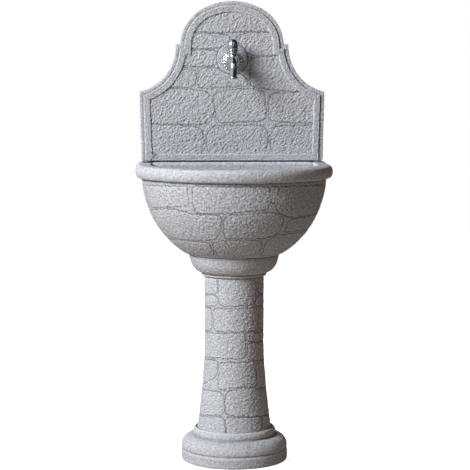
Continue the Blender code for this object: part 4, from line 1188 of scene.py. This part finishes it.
# %% Light
def soft_light(name, place, target, size, watts, colour):
    """A square soft light that looks at a target."""
    bpy.ops.object.select_all(action="DESELECT")
    bpy.ops.object.light_add(type="AREA", location=place)
    light = bpy.context.object
    light.name = name
    dx, dy, dz = (t - p for t, p in zip(target, place))
    light.rotation_euler = (math.atan2(math.hypot(dx, dy), -dz), 0, math.atan2(dx, -dy) + math.pi)
    light.data.size, light.data.energy = size, watts
    light.data.color = linear(colour)[:3]
    return light


MIDDLE = (0, AXIS_Y, 0.75)
soft_light("key_left", (-3.84, -2.90, 3.50), MIDDLE, 2.1, 420, "#F4F9FF")
soft_light("fill_back", (-1.2, 3.0, 2.2), MIDDLE, 1.6, 40, "#FFF1E4")

# %% Surround
world = bpy.data.worlds.new("studio_white")
bpy.context.scene.world = world
world.use_nodes = True
world.node_tree.nodes.clear()
ray = add_node(world, "ShaderNodeLightPath")
white = add_node(world, "ShaderNodeBackground", Color=(1, 1, 1, 1), Strength=1.0)
dim = add_node(world, "ShaderNodeBackground", Color=linear("#D8BFAC"), Strength=0.17)
direction = add_node(world, "ShaderNodeTexCoord").outputs["Generated"]
panels = add_node(world, "ShaderNodeTexNoise", Vector=direction, Scale=1.6, Detail=1.0)
sideways = add_node(world, "ShaderNodeSeparateXYZ", Vector=direction).outputs["X"]
brighter_left = add_node(world, "ShaderNodeMath", {"operation": "MULTIPLY_ADD"}, n0=sideways,
                         n1=-0.35, n2=panels.outputs["Fac"])
patches = ramp(world, brighter_left.outputs[0], (0.42, "#2C2D30"), (0.58, "#E4E8EE"))
studio = add_node(world, "ShaderNodeBackground", Color=patches, Strength=0.75)
unseen = add_node(world, "ShaderNodeMixShader", n0=ray.outputs["Is Glossy Ray"], n1=dim.outputs[0],
                  n2=studio.outputs[0])
mix = add_node(world, "ShaderNodeMixShader", n0=ray.outputs["Is Camera Ray"], n1=unseen.outputs[0],
               n2=white.outputs[0])
add_node(world, "ShaderNodeOutputWorld", Surface=mix.outputs[0])

# %% Camera
scene = bpy.context.scene
CAMERA_TURN, CAMERA_PITCH, CAMERA_DISTANCE = math.radians(2.7), math.radians(5.66), 4.86
bpy.ops.object.select_all(action="DESELECT")
bpy.ops.object.camera_add(location=(-CAMERA_DISTANCE * math.sin(CAMERA_TURN),
                                    AXIS_Y - CAMERA_DISTANCE * math.cos(CAMERA_TURN), 1.17),
                          rotation=(math.pi / 2 - CAMERA_PITCH, 0, -CAMERA_TURN - math.radians(0.032)))
camera = bpy.context.object
camera.data.lens, camera.data.sensor_width = 123.1, 36.0
scene.camera = camera
scene.view_settings.view_transform = "Standard"
bpy.data.objects.remove(chisel)
